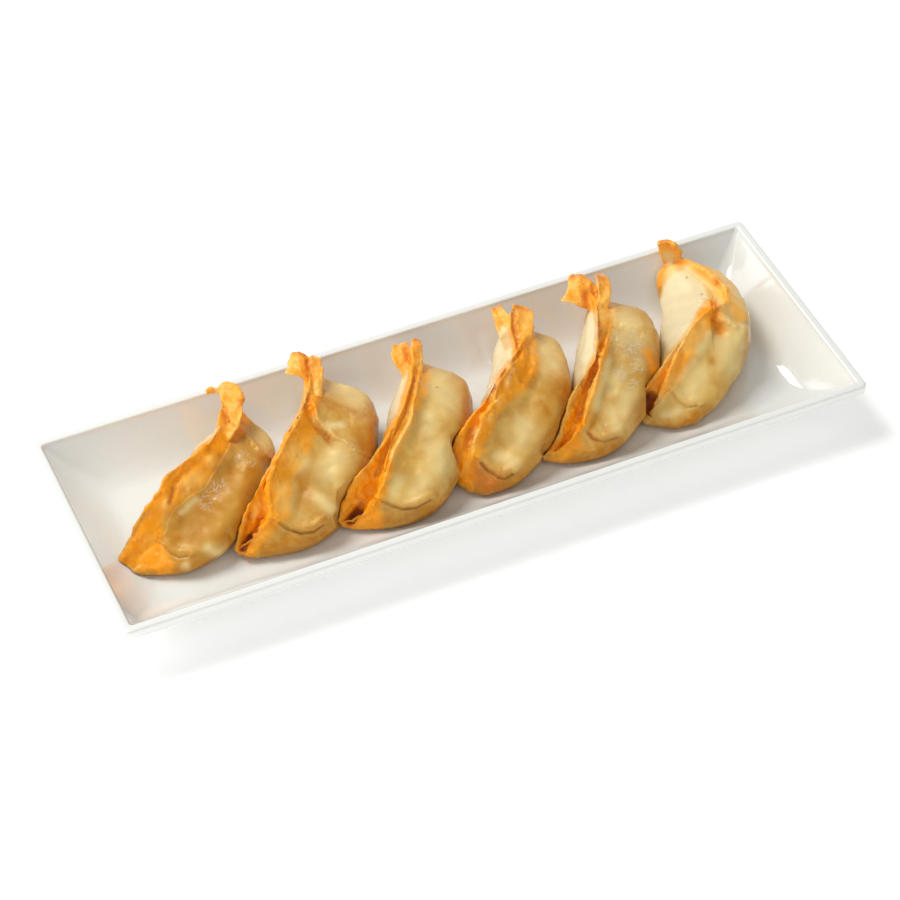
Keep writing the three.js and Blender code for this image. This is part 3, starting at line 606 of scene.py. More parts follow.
# how dumplings lie against each other, in millimetres: a left side is measured at stations along it and at
# levels above the floor, and the space that a near tip keeps free above its crest leans to the left at its
# start and further to the right along it
contact = {
    "stations": 160, "top": 40, "level": 0.5,
    "lean": -0.3, "leanSlope": 3, "leanCurve": 40, "leanCurveFrom": 0.2, "leanMost": 4,
    "leanHeight": 7, "leanAbove": 1.2, "mostPress": 12, "pressBeyond": 3, "freeBefore": 0.4,
}
limitLevels = np.arange(0, contact["top"], contact["level"])


# how far left a dumpling's side reaches, at stations along it and levels above the floor
def leftLimits(d):
    c, stations = contact, contact["stations"]
    skin = skinAt(d, np.linspace(0, 1, stations))
    p, z = skin[..., 0], skin[..., 1]
    pNext, zNext = np.roll(p, -1, 1), np.roll(z, -1, 1)
    limits = np.full((stations, len(limitLevels)), np.inf)
    for i, level in enumerate(limitLevels):
        crosses = (z > level) != (zNext > level)
        at = p + (pNext - p) * (level - z) / np.where(crosses, zNext - z, 1)
        limits[:, i] = np.where(crosses, at, np.inf).min(1)
    # above its crest a near tip keeps the space over itself free, so that it shows
    levels = np.arange(len(limitLevels))
    top = np.where(np.isfinite(limits), levels, 0).max(1)
    t = np.linspace(0, 1, stations)
    lean = c["lean"] + c["leanSlope"] * t + c["leanCurve"] * np.maximum(t - c["leanCurveFrom"], 0) ** 2
    height = c["level"] * (levels - top[:, None])
    over = limits[np.arange(stations), top][:, None] + lean[:, None] * np.minimum(height, c["leanHeight"])
    over = over + c["leanAbove"] * np.maximum(height - c["leanHeight"], 0)
    return np.where((levels > top[:, None]) & (lean[:, None] < c["leanMost"]), over, limits)


# moves places in plan back where the next dumpling's side is in the way
def pressed(d, x, y, z):
    if d["next"] is None:
        return x, y
    c, last = contact, contact["stations"] - 1
    near, (along, right) = d["next"]["near"], axesOf(d["next"])
    dx, dy = x - near[0], y - near[1]
    nextAlong = dx * along[0] + dy * along[1]
    length = d["next"]["length"]
    before, beyond = np.maximum(-nextAlong, 0), np.maximum(nextAlong - length, 0)
    station = np.clip(nextAlong / length, 0, 1) * last
    level = np.clip(z / c["level"], 0, len(limitLevels) - 1)
    i = np.minimum(station.astype(int), last - 1)
    j = np.minimum(level.astype(int), len(limitLevels) - 2)
    a, b = station - i, level - j
    limits = d["next"]["limits"]
    corners = [limits[i, j], limits[i + 1, j], limits[i, j + 1], limits[i + 1, j + 1]]
    known = np.all(np.isfinite(corners), 0)
    corners = [np.where(known, corner, 0) for corner in corners]
    limit = mix(mix(corners[0], corners[1], a), mix(corners[2], corners[3], a), b)
    limit = limit - dough["gapBetween"] + c["freeBefore"] * before
    press = np.maximum(dx * right[0] + dy * right[1] - limit, 0)
    press = press * np.maximum(1 - beyond / c["pressBeyond"], 0)
    press = np.where(known & (press < c["mostPress"]), press, 0)
    return x - press * right[0], y - press * right[1]


# places in a dumpling's own directions, on the plate and clear of the next dumpling
def placed(d, a, p, z):
    along, right = axesOf(d)
    x = d["near"][0] + a * along[0] + p * right[0]
    y = d["near"][1] + a * along[1] + p * right[1]
    x, y = pressed(d, x, y, z)
    up = np.maximum(plate["floorHeight"] + z, plateTop(x, y)) + dough["gapToPlate"]
    return np.stack([x, y, up], -1)


# a ball of rings and steps, with each vertex's ring and step
def newBall(rings, around):
    bm = bmesh.new()
    bmesh.ops.create_uvsphere(bm, u_segments=around, v_segments=rings, radius=1)
    mesh = meshFrom(bm, "ball")
    co = placesOf(mesh)
    ring = np.rint(np.arccos(np.clip(co[:, 2], -1, 1)) / np.pi * rings).astype(int)
    turn = np.arctan2(co[:, 1], co[:, 0]) % (2 * np.pi)
    return mesh, ring, np.rint(turn / (2 * np.pi) * around).astype(int) % around


def placesOf(mesh):
    co = np.empty(len(mesh.vertices) * 3)
    mesh.vertices.foreach_get("co", co)
    return co.reshape(-1, 3)


# six times the volume inside, below zero when the faces point inwards
def volumeOf(mesh):
    mesh.calc_loop_triangles()
    corners = np.empty(len(mesh.loop_triangles) * 3, np.int32)
    mesh.loop_triangles.foreach_get("vertices", corners)
    a, b, c = placesOf(mesh)[corners.reshape(-1, 3)].transpose(1, 0, 2)
    return np.einsum("ij,ij->", np.cross(a, b), c)


# grid holds the points of each ring; the ball's poles close its ends
def wrapBall(ball, grid, startPole, endPole):
    source, ring, step = ball
    mesh = source.copy()
    places = grid[np.clip(ring - 1, 0, grid.shape[0] - 1), step]
    places[ring == 0] = startPole
    places[ring == grid.shape[0] + 1] = endPole
    mesh.vertices.foreach_set("co", places.ravel())
    if volumeOf(mesh) < 0:
        mesh.flip_normals()
    return mesh


bodyBall = newBall(dough["rings"] + 1, len(aroundPlaces))
leafBall = newBall(dough["leafRings"] + 1, dough["leafAround"])


# a dumpling's skin, with each vertex's place along and around it
def bodyMesh(d):
    u = np.linspace(0, 1, dough["rings"])
    t = mix(u, (1 - np.cos(np.pi * u)) / 2, dough["ringsToEnds"])
    skin = skinAt(d, t)
    grid = placed(d, t[:, None] * d["length"] + 0 * skin[..., 0], skin[..., 0], skin[..., 1])
    tip = np.append(axesOf(d)[0], 0) * dough["poleOut"]
    mesh = wrapBall(bodyBall, grid, grid[0].mean(0) - tip, grid[-1].mean(0) + tip)
    _, ring, step = bodyBall
    return mesh, t[np.clip(ring - 1, 0, len(t) - 1)], aroundPlaces[step]


# the smooth curve through points, at parts u of the way along it
def smoothLine(points, u):
    points = np.array(points, float)
    padded = np.vstack([2 * points[0] - points[1], points, 2 * points[-1] - points[-2]])
    k = np.minimum((u * (len(points) - 1)).astype(int), len(points) - 2)
    f = (u * (len(points) - 1) - k)[:, None]
    p0, p1, p2, p3 = [padded[k + i] for i in range(4)]
    square, cube = 2 * p0 - 5 * p1 + 4 * p2 - p3, 3 * p1 - p0 - 3 * p2 + p3
    return 0.5 * (2 * p1 + (p2 - p0) * f + square * f**2 + cube * f**3)


def unit(vectors):
    return vectors / np.linalg.norm(vectors, axis=-1, keepdims=True)


# a leaf of dough curled up at the back corner
def leafMesh(d, curl):
    along, right = axesOf(d)
    knots = np.array([placed(d, *[np.array(float(c)) for c in point]) for point in curl["line"]])
    u = np.linspace(0, 1, dough["leafRings"])
    centre = smoothLine(knots, u)
    forward = unit(np.gradient(centre, axis=0))
    a, p, z = curl["across"]
    wide = np.append(a * along + p * right, z)
    side = unit(wide - forward * (forward @ wide)[:, None])
    face = np.cross(side, forward)
    half = np.interp(u * (len(curl["widths"]) - 1), range(len(curl["widths"])), curl["widths"]) / 2
    turn = 2 * np.pi * np.arange(dough["leafAround"]) / dough["leafAround"]
    x, y = np.cos(turn), np.sin(turn)
    ruffle = dough["ruffleHeight"] * np.sin(dough["ruffleTurns"] * u + d["heading"])
    ruffle = ruffle[:, None] * np.sign(x) * x * x
    thick = 0.5 * dough["foldThickness"] * np.sign(y) * np.abs(y) ** dough["leafRoundness"]
    lift = thick + curl["hollow"] * (x * x - 0.5) + ruffle
    grid = centre[:, None] + side[:, None] * (half[:, None] * x)[..., None] + face[:, None] * lift[..., None]
    return wrapBall(leafBall, grid, grid[0].mean(0), grid[-1].mean(0))


# the straight stretches of a drawn line, each as the places of its two ends
def stretchesOf(line):
    return zip(line[:-2:2], line[1:-2:2], line[2::2], line[3::2])


# distance in pixels from places to a drawn line, and which side of it they are on: above is positive
def lineSpread(u, v, line):
    best, side = np.full(len(u), np.inf), np.zeros(len(u))
    for ax, ay, bx, by in stretchesOf(line):
        dx, dy = bx - ax, by - ay
        rx, ry = u - ax, v - ay
        k = np.clip((rx * dx + ry * dy) / (dx * dx + dy * dy), 0, 1)
        away = np.hypot(rx - k * dx, ry - k * dy)
        nearer = away < best
        best = np.where(nearer, away, best)
        side = np.where(nearer, -np.sign(dx * ry - dy * rx), side)
    return best, side


# pixels inside a drawn outline, below zero outside it
def insideOutline(u, v, outline):
    closed = outline + outline[:2]
    odd = np.zeros(len(u), bool)
    for ax, ay, bx, by in stretchesOf(closed):
        if ay != by:
            odd ^= ((ay > v) != (by > v)) & (u < ax + (bx - ax) * (v - ay) / (by - ay))
    return np.where(odd, 1, -1) * lineSpread(u, v, closed)[0]


# how strongly strokes, given as (half width, line) in pixels, cover places; a line may be a single point
def strokes(u, v, drawn):
    total = np.zeros(len(u))
    for width, *line in drawn:
        if len(line) > 2:
            away = lineSpread(u, v, line)[0]
        else:
            away = np.hypot(u - line[0], v - line[1])
        total = np.maximum(total, bell(0.85 * away / width))
    return total


# smooth noise at points, in millimetres, from -1 to 1
def lumps(points, size, seed):
    return np.array([noise.noise(Vector(point) / size + Vector((seed, 0, 0))) for point in points])


def addSmoothing(thing, rounds):
    smoothing = thing.modifiers.new("smoothing", "SMOOTH")
    smoothing.factor = 0.5
    smoothing.iterations = rounds
    return smoothing


# an object's mesh as its modifiers leave it, in place of the object
def settled(thing):
    mesh = bpy.data.meshes.new_from_object(thing.evaluated_get(bpy.context.evaluated_depsgraph_get()))
    bpy.data.objects.remove(thing)
    return mesh


# one smooth closed skin round all the parts
def remeshed(parts, name):
    bm = bmesh.new()
    for part in parts:
        bm.from_mesh(part)
    rough = linked(name, meshFrom(bm, name))
    remesh = rough.modifiers.new("remesh", "REMESH")
    remesh.mode = "VOXEL"
    remesh.voxel_size = dough["voxel"]
    addSmoothing(rough, dough["relaxRounds"])
    whole = settled(rough)
    whole.name = name
    return whole


# relaxes the marked places of a mesh
def relax(mesh, marked, rounds):
    copied = mesh.copy()
    held = linked("held", copied)
    held.vertex_groups.new(name="marked").add(np.flatnonzero(marked).tolist(), 1.0, "REPLACE")
    addSmoothing(held, rounds).vertex_group = "marked"
    done = settled(held)
    mesh.vertices.foreach_set("co", placesOf(done).ravel())
    mesh.update()
    for spare in (copied, done):
        bpy.data.meshes.remove(spare)


def normalsOf(mesh):
    normals = np.empty(len(mesh.vertices) * 3, np.float32)
    mesh.vertex_normals.foreach_get("vector", normals)
    return normals.reshape(-1, 3).astype(float)


def treeOf(points):
    tree = kdtree.KDTree(len(points))
    for i, point in enumerate(points):
        tree.insert(point, i)
    tree.balance()
    return tree


# how much each place of a body is of its rim, pale left side, underside, low part and edge, from where it is
# along and around
def bodyMasks(t, around):
    fromSeam = np.minimum(around, outlinePoints - around)
    rim = np.where(around < 8, 1 - fade(fromSeam, 2, 3.1), 1 - fade(fromSeam, 2.3, 3.3))
    tips = np.maximum(1 - fade(t, 0.03, 0.12), fade(t, 0.9, 0.98))
    left = fade(around, 11, 12.2) * (1 - fade(around, 14.2, 15))
    under = fade(around, 6.2, 7.4) * (1 - fade(around, 10.5, 11.6))
    low = fade(around, 5.2, 6.8) * (1 - fade(around, 10.5, 11.6))
    edge = 1 - fade(fromSeam, 0.6, 2.4)
    return np.stack([np.maximum(rim, 0.8 * tips), left, under, low, edge], 1)


# stores three masks for a material to read
def paintFloats(mesh, name, values):
    layer = mesh.attributes.new(name, "FLOAT_COLOR", "POINT")
    flat = np.ones((len(mesh.vertices), 4), np.float32)
    flat[:, :3] = values
    layer.data.foreach_set("color", flat.ravel())


# how the surface is worked over: sizes of the lumps and depths in millimetres, and rounds of smoothing
relief = {
    "broad": 9, "medium": 3.6, "fine": 1.3, "crag": 2.2, "pocketDepth": 1.3,
    "softRounds": 160, "pressedFrom": 0.1, "pressReach": 2, "pressRounds": 40,
}


# a mesh's places and normals, and for each of them its part of the body, where it shows and its lumps
def surfaceOf(index, mesh, body, leaves, t, around):
    fry = frying[index]
    co, normals = placesOf(mesh), normalsOf(mesh)
    some = slice(None, None, 3)
    masks = bodyMasks(t, around)[some]
    bodyTree = treeOf(placesOf(body)[some])
    curlTree = treeOf(np.vstack([placesOf(part) for part in leaves]))
    found = [bodyTree.find_n(point, 3) for point in co]
    near = np.array([[masks[i] for _, i, _ in hits] for hits in found]).mean(1)
    toBody = np.array([hits[0][2] for hits in found])
    toCurl = np.array([curlTree.find(point)[2] for point in co])
    s = dict(zip(("rim", "left", "under", "low", "edge"), near.T))
    s["leaf"] = fade(toBody - toCurl, -0.4, 1.2)
    s["front"] = fade(facingOf(normals), -0.05, 0.25)
    seeds = {"broad": 3.1 * index, "medium": 40 + index, "fine": 80 + index, "crag": 120 + index}
    for name, seed in seeds.items():
        s[name] = lumps(co, relief[name], seed)
    s["u"], s["v"] = pixelsOf(co)
    # drawn lines waver with the lumps
    s["wu"] = s["u"] + 1.6 * s["medium"] + 0.7 * s["fine"]
    s["wv"] = s["v"] + 1.6 * s["broad"] - 0.7 * s["fine"]
    nearly = s["u"] + 0.8 * s["medium"], s["v"] + 0.8 * s["fine"]
    s["smileAway"], s["smileSide"] = lineSpread(*nearly, fry["smile"])
    s["taper"] = 1 - fade(s["smileAway"], 4, 14)
    s["pocket"] = strokes(s["wu"], s["wv"], fry["pockets"]) * s["front"]
    return co, normals, s


# how far each place moves along its normal, in millimetres
def reliefOf(fry, s):
    front, leaf, medium, fine = s["front"], s["leaf"], s["medium"], s["fine"]
    moved = 0.45 * s["broad"] + 0.22 * medium
    moved += s["rim"] * (0.3 * medium + 0.14 * fine) + leaf * (0.25 * medium + 0.08 * fine)
    moved += s["edge"] * (1 - leaf) * (0.5 * s["crag"] + 0.4 * medium)
    q = s["smileAway"] * s["smileSide"] / pixelsPerMm
    lips = 1.0 * bell((q - 2.4) / 1.9) - 0.7 * bell((q + 2.2) / 1.8)
    moved += front * fry["smileDeep"] * (s["taper"] * lips - 1.1 * bell(q / 0.5))
    for depth, width, *line in fry["folds"]:
        away = lineSpread(s["wu"], s["wv"], line)[0]
        moved -= front * depth * bell(away / pixelsPerMm / width)
    for height, run, *line in fry["steps"]:
        away, side = lineSpread(s["wu"], s["wv"], line)
        above = fade(away * side / pixelsPerMm, -0.3, 0.3)
        reach = np.where(side > 0, run, 0.5 * run)
        moved += front * height * (1.4 * above - 0.4) * np.exp(-away / pixelsPerMm / reach)
    for at, down, radius, height in fry["bumps"]:
        moved += front * height * bell(np.hypot(s["wu"] - at, s["wv"] - down) / radius)
    moved -= relief["pocketDepth"] * s["pocket"]
    # the underside stays flat
    return moved * (1 - 0.8 * s["under"])


# how far places are inside any of the outlines, whose edges are ragged
def filled(s, outlines, ragged, start, end):
    inside = np.zeros(len(ragged))
    for outline in outlines:
        inside = np.maximum(inside, fade(insideOutline(s["u"], s["v"], outline) + ragged, start, end))
    return inside


# how the frying coloured each place, and the shade and highlights painted on it, as the masks that the
# dough's material reads
def paintDumpling(mesh, fry, s):
    front, leaf, edge, broad, medium = [s[name] for name in ("front", "leaf", "edge", "broad", "medium")]
    behind, smile = 1 - front, front * fry["smileDeep"]
    ragged = 3.5 * medium + 1.5 * s["fine"]
    drawn = filled(s, fry["orange"], ragged, -5, 5)
    pale = filled(s, fry["cream"], 0.4 * ragged, -2, 4)
    tints = {name: strokes(s["wu"], s["wv"], lines) * front for name, lines in fry["tints"].items()}
    crisp = np.maximum(mix(s["rim"], drawn, front), leaf * 0.9) * (1 - 0.85 * pale * front)
    paleSide = np.maximum(s["left"] * behind, pale * front)
    gold = np.maximum(tints["gold"], 0.5 * fade(broad, 0, 0.5) * behind)
    # the low strips are made more golden, partly browning and partly painted shade
    gold = np.clip(np.maximum(gold, 0.85 * s["low"]) + 0.25 * fade(medium, 0.1, 0.6), 0, 1)
    amber = np.maximum(tints["amber"], edge * crisp * (0.4 + 0.6 * fade(broad, -0.2, 0.3)))
    # besides toasted edges, rust strokes along crease lines and layer edges are painted shade
    rust = np.maximum(tints["rust"], 0.5 * edge * fade(medium, 0.1, 0.4) * behind)
    # the light strokes are partly paler dough and partly painted highlights and painted light on shaded faces
    light = np.maximum(tints["light"], 0.6 * fade(medium, 0.15, 0.5) * behind)
    light = np.maximum(light, (0.75 - 0.35 * fade(s["fine"], 0.1, 0.5)) * leaf)
    dots = strokes(s["u"], s["v"], [(0.8, *dot) for dot in fry["dots"]])
    # the pockets are darkened as over-fried dough and as painted shade deep in the fold, the dots are burnt
    # specks, and a painted shadow line runs along the smile's crease
    dark = np.maximum(s["pocket"], front * 0.8 * dots)
    dark = np.maximum(dark, smile * fade(medium, -0.5, 0.2) * 0.5 * bell(s["smileAway"] / 1.1))
    wet = np.maximum(tints["wet"], 0.5 * fade(broad, 0.1, 0.4) * behind)
    # under the smile the filling's olive colour is painted shade in the crease
    filling = np.maximum(tints["filling"], 0.9 * smile * s["taper"] * bell(s["smileAway"] / 1.3))
    # the first mask also carries painted shade, the second painted shade under the smile and the wet places
    # of painted glints, the third painted highlights
    paintFloats(mesh, "toastAndShade", np.stack([crisp, gold, dark], 1))
    paintFloats(mesh, "bloomAndShade", np.stack([paleSide, filling, wet], 1))
    paintFloats(mesh, "amberRustAndHighlight", np.stack([amber, rust, light], 1))


def buildDumpling(index, material):
    d, fry = dumplings[index], frying[index]
    body, t, around = bodyMesh(d)
    leaves = [leafMesh(d, curl) for curl in d["curls"]]
    mesh = remeshed([body] + leaves, f"dumpling{index + 1}")
    if "soft" in fry:
        co = placesOf(mesh)
        soft = strokes(*pixelsOf(co), fry["soft"]) > 0.5
        relax(mesh, soft & (co[:, 2] > fry["softAbove"]), relief["softRounds"])
    co, normals, s = surfaceOf(index, mesh, body, leaves, t, around)
    co = co + normals * reliefOf(fry, s)[:, None]
    x, y = pressed(d, co[:, 0], co[:, 1], co[:, 2] - plate["floorHeight"] - dough["gapToPlate"])
    shifted = np.hypot(x - co[:, 0], y - co[:, 1]) > relief["pressedFrom"]
    co = np.stack([x, y, np.maximum(co[:, 2], plateTop(x, y) + dough["gapToPlate"])], 1)
    paintDumpling(mesh, fry, s)
    mesh.vertices.foreach_set("co", (co * 0.001).ravel())
    mesh.update()
    if shifted.any():
        shiftTree = treeOf(co[shifted][::5])
        reached = np.array([shiftTree.find(point)[2] for point in co]) < relief["pressReach"]
        relax(mesh, reached, relief["pressRounds"])
    print("dumpling", index + 1, len(mesh.vertices), "vertices")
    finishPiece(mesh, f"dumpling{index + 1}", material, f"dumpling_{index + 1}")


def setInputs(node, values):
    for name, value in values.items():
        node.inputs[name].default_value = value


def addNode(tree, kind, values=None, **settings):
    node = tree.nodes.new(kind)
    for name, value in settings.items():
        setattr(node, name, value)
    setInputs(node, values or {})
    return node


def joinSockets(tree, *pairs):
    for output, socket in pairs:
        tree.links.new(output, socket)


# feeds a node's input with another node's output, or with a number or a colour
def feed(tree, socket, value):
    if isinstance(value, (int, float, tuple)):
        socket.default_value = value
    else:
        tree.links.new(value, socket)


def mathNode(tree, operation, a, b=0.5):
    node = addNode(tree, "ShaderNodeMath", operation=operation)
    feed(tree, node.inputs[0], a)
    feed(tree, node.inputs[1], b)
    return node.outputs[0]


def times(tree, a, b):
    return mathNode(tree, "MULTIPLY", a, b)


def plus(tree, a, b):
    return mathNode(tree, "ADD", a, b)


# a colour with others laid over it, each as (how much of it shows, colour)
def layered(tree, base, layers):
    for share, shade in layers:
        node = addNode(tree, "ShaderNodeMix", data_type="RGBA")
        for k, value in ((0, share), (6, base), (7, shade)):
            feed(tree, node.inputs[k], value)
        base = node.outputs[2]
    return base


def remapNode(tree, value, low, high, toLow=0.0, toHigh=1.0):
    node = addNode(tree, "ShaderNodeMapRange", interpolation_type="SMOOTHSTEP")
    for k, number in enumerate((value, low, high, toLow, toHigh)):
        feed(tree, node.inputs[k], number)
    return node.outputs[0]


# sRGB 0-255 to the linear colour that a shader takes
def colour(red, green, blue):
    def linear(c):
        c = c / 255
        return c / 12.92 if c <= 0.04045 else ((c + 0.055) / 1.055) ** 2.4
    return (linear(red), linear(green), linear(blue), 1.0)


# a node group that takes a Place and named numbers, and gives named numbers
def newGroup(name, numbers, results):
    tree = bpy.data.node_groups.new(name, "ShaderNodeTree")
    tree.interface.new_socket(name="Place", in_out="INPUT", socket_type="NodeSocketVector")
    for title, value in numbers.items():
        socket = tree.interface.new_socket(name=title, in_out="INPUT", socket_type="NodeSocketFloat")
        socket.default_value = value
    for title in results:
        tree.interface.new_socket(name=title, in_out="OUTPUT", socket_type="NodeSocketFloat")
    given, out = tree.nodes.new("NodeGroupInput"), tree.nodes.new("NodeGroupOutput")
    return tree, given.outputs, out.inputs


# soft patches of a given size in metres, with a second, finer grain in them
def mottlingGroup():
    tree, given, out = newGroup("mottling", {"Size": 0.006, "Contrast": 3.0}, ["Patches", "Grain"])
    scale = mathNode(tree, "DIVIDE", 1.0, given["Size"])
    big = addNode(tree, "ShaderNodeTexNoise", {"Detail": 4.0, "Roughness": 0.6, "Distortion": 0.4})
    small = addNode(tree, "ShaderNodeTexNoise", {"Detail": 3.0, "Roughness": 0.7})
    for grain, fineness in ((big, scale), (small, times(tree, scale, 7.0))):
        joinSockets(tree, (given["Place"], grain.inputs["Vector"]), (fineness, grain.inputs["Scale"]))
    spread = times(tree, mathNode(tree, "SUBTRACT", big.outputs[0], 0.5), given["Contrast"])
    patches = tree.nodes.new("ShaderNodeClamp")
    joinSockets(tree, (plus(tree, spread, 0.5), patches.inputs[0]),
                (patches.outputs[0], out["Patches"]), (small.outputs[0], out["Grain"]))
    return tree


# raised round blisters, with a size in metres, and how many of the cells hold one
def blisterGroup():
    tree, given, out = newGroup("blisters", {"Size": 0.002, "Share": 0.4}, ["Height"])
    scale = mathNode(tree, "DIVIDE", 1.0, given["Size"])
    cells = addNode(tree, "ShaderNodeTexVoronoi", {"Randomness": 1.0}, feature="F1")
    pick = tree.nodes.new("ShaderNodeSeparateColor")
    joinSockets(tree, (given["Place"], cells.inputs["Vector"]), (scale, cells.inputs["Scale"]),
                (cells.outputs["Color"], pick.inputs[0]))
    dome = remapNode(tree, cells.outputs["Distance"], 0.55, 0.0)
    chosen = mathNode(tree, "LESS_THAN", pick.outputs[0], given["Share"])
    tall = times(tree, times(tree, dome, chosen), pick.outputs[1])
    tree.links.new(tall, out["Height"])
    return tree


mottling, blisters = mottlingGroup(), blisterGroup()


def newMaterial(name):
    material = bpy.data.materials.new(name)
    material.use_nodes = True
    tree = material.node_tree
    shader = tree.nodes["Principled BSDF"]
    place = tree.nodes.new("ShaderNodeTexCoord").outputs["Object"]
    return material, tree, shader, place


def groupOutputs(tree, group, place, values):
    node = addNode(tree, "ShaderNodeGroup", node_tree=group)
    setInputs(node, values)
    tree.links.new(place, node.inputs["Place"])
    return node.outputs


# the fried dough's colours, as they show in daylight, how much of each lies over the ones below it, its marks
# with sizes in metres, how high they stand, and its shine; the light shades also serve as painted highlights,
# and the foam as painted glints
doughLook = {
    "tan": (213, 172, 90), "tanDeep": (197, 144, 54), "cream": (224, 209, 168), "gold": (186, 119, 20),
    "orange": (243, 156, 10), "orangeLight": (248, 174, 52), "orangeDeep": (230, 124, 0),
    "amber": (246, 152, 0), "lightDough": (236, 212, 146), "lightCrust": (254, 196, 96),
    "rust": (196, 96, 14), "brown": (160, 78, 22), "dark": (132, 48, 24), "filling": (176, 132, 62),
    "frothAndGlints": (255, 244, 216), "gloss": (255, 246, 206),
    "over": {"light": 0.75, "filling": 0.4, "lightCrust": 0.8, "amber": 0.8, "bubbles": 0.35, "rust": 0.6,
             "brown": 0.5, "frothAndGlints": 0.65},
    "patches": {"Size": 0.009, "Contrast": 3.2}, "speckle": {"Size": 0.0028, "Contrast": 4.0},
    "squiggles": {"Size": 0.0013, "Contrast": 1.6},
    "bubbles": {"Size": 0.0024, "Share": 0.45}, "pimples": {"Size": 0.0011, "Share": 0.4},
    "raised": {"bubbles": 1.4, "pimples": 0.15, "frothAndGlints": 0.9, "grain": 0.35},
    "bump": {"Strength": 0.6, "Distance": 0.0005},
    "roughness": 0.33, "wetRoughness": 0.12, "oilMost": 0.12, "oilWhereWet": 0.15,
    "shine": {"Coat Roughness": 0.12, "Specular IOR Level": 0.42, "Subsurface Weight": 0.2,
              "Subsurface Radius": (1.0, 0.45, 0.15), "Subsurface Scale": 0.003},
    "shift": [0.37, 0.11, 0.0],
}


def doughMaterial(index):
    look, fried = doughLook, frying[index]["fried"]
    over, raised = look["over"], look["raised"]
    shade = {name: colour(*value) for name, value in look.items() if isinstance(value, tuple)}
    material, tree, shader, place = newMaterial(f"friedDough{index + 1}")
    # each dumpling has its own part of the noise
    shift = addNode(tree, "ShaderNodeMapping", {"Location": [step * index for step in look["shift"]]})
    tree.links.new(place, shift.inputs["Vector"])
    place = shift.outputs[0]
    masks = []
    for name in ("toastAndShade", "bloomAndShade", "amberRustAndHighlight"):
        layer = addNode(tree, "ShaderNodeAttribute", attribute_name=name)
        parts = tree.nodes.new("ShaderNodeSeparateColor")
        tree.links.new(layer.outputs["Color"], parts.inputs[0])
        masks += parts.outputs[:3]
    crisp, gold, dark, pale, filling, wet, amber, rust, light = masks
    patches = groupOutputs(tree, mottling, place, look["patches"])
    speckle = groupOutputs(tree, mottling, place, look["speckle"])
    lines = groupOutputs(tree, mottling, place, look["squiggles"])
    bubbles = groupOutputs(tree, blisters, place, look["bubbles"])["Height"]
    pimples = groupOutputs(tree, blisters, place, look["pimples"])["Height"]
    # froth squiggles where the dough is wet: partly oil froth, partly painted glints
    fromMiddle = mathNode(tree, "ABSOLUTE", mathNode(tree, "SUBTRACT", lines["Patches"], 0.5))
    inPatches = remapNode(tree, speckle["Patches"], 0.3, 0.8)
    squiggles = times(tree, remapNode(tree, fromMiddle, 0.09, 0.0), inPatches)
    frothAndGlints = times(tree, times(tree, squiggles, remapNode(tree, wet, 0.3, 0.8)), over["frothAndGlints"])

    # the soft dough and the crust, with painted highlights from the light mask, and painted shade from the
    # filling mask in the soft dough
    soft = layered(tree, shade["tan"], [
        (remapNode(tree, patches["Patches"], 0.0, 1.0, fried - 0.9, fried), shade["tanDeep"]),
        (times(tree, gold, remapNode(tree, speckle["Patches"], 0.0, 1.0, 0.6, 1.0)), shade["gold"]),
        (pale, shade["cream"]),
        (times(tree, light, over["light"]), shade["lightDough"]),
        (times(tree, filling, over["filling"]), shade["filling"]),
    ])
    crust = layered(tree, shade["orange"], [
        (remapNode(tree, patches["Patches"], 0.3, 0.9, 0.0, max(1.7 - fried, 0.3)), shade["orangeLight"]),
        (remapNode(tree, speckle["Patches"], 0.5, 1.2, 0.0, 0.6 * fried), shade["orangeDeep"]),
        (times(tree, light, over["lightCrust"]), shade["lightCrust"]),
    ])
    burnt = remapNode(tree, speckle["Grain"], 0.66, 0.8, 0.0, over["brown"])
    # the crust and its marks over the soft dough, with painted shade from the rust and dark masks and painted
    # glints from the froth
    base = layered(tree, soft, [
        (crisp, crust),
        (times(tree, amber, over["amber"]), shade["amber"]),
        (times(tree, times(tree, bubbles, crisp), over["bubbles"]), shade["lightCrust"]),
        (times(tree, rust, over["rust"]), shade["rust"]),
        (times(tree, crisp, burnt), shade["brown"]),
        (dark, shade["dark"]),
        (frothAndGlints, shade["frothAndGlints"]),
    ])

    rough = remapNode(tree, speckle["Grain"], 0.3, 0.7, look["roughness"] - 0.1, look["roughness"] + 0.08)
    rough = mathNode(tree, "SUBTRACT", rough, times(tree, wet, look["roughness"] - look["wetRoughness"]))
    oil = remapNode(tree, patches["Grain"], 0.4, 0.7, 0.0, look["oilMost"])
    oil = plus(tree, times(tree, wet, look["oilWhereWet"]), oil)
    blistered = times(tree, bubbles, times(tree, plus(tree, crisp, wet), raised["bubbles"]))
    tiny = plus(tree, times(tree, pimples, raised["pimples"]), times(tree, frothAndGlints, raised["frothAndGlints"]))
    height = plus(tree, plus(tree, blistered, tiny), times(tree, speckle["Grain"], raised["grain"]))
    bump = addNode(tree, "ShaderNodeBump", look["bump"])
    joinSockets(tree, (base, shader.inputs["Base Color"]), (rough, shader.inputs["Roughness"]),
                (oil, shader.inputs["Coat Weight"]), (height, bump.inputs["Height"]),
                (bump.outputs[0], shader.inputs["Normal"]))
    setInputs(shader, {"Specular Tint": shade["gloss"], **look["shine"]})
    return material


porcelainLook = {
    "glaze": (233, 235, 231), "glazeWarm": (231, 232, 226), "roughness": 0.07, "rougher": 0.06,
    "patches": {"Size": 0.05, "Contrast": 1.6}, "ripple": {"Size": 0.016, "Contrast": 1.0},
    "bump": {"Strength": 0.5, "Distance": 0.0006},
    "shine": {"IOR": 1.5, "Coat Weight": 0.8, "Coat IOR": 1.7, "Coat Roughness": 0.03},
}


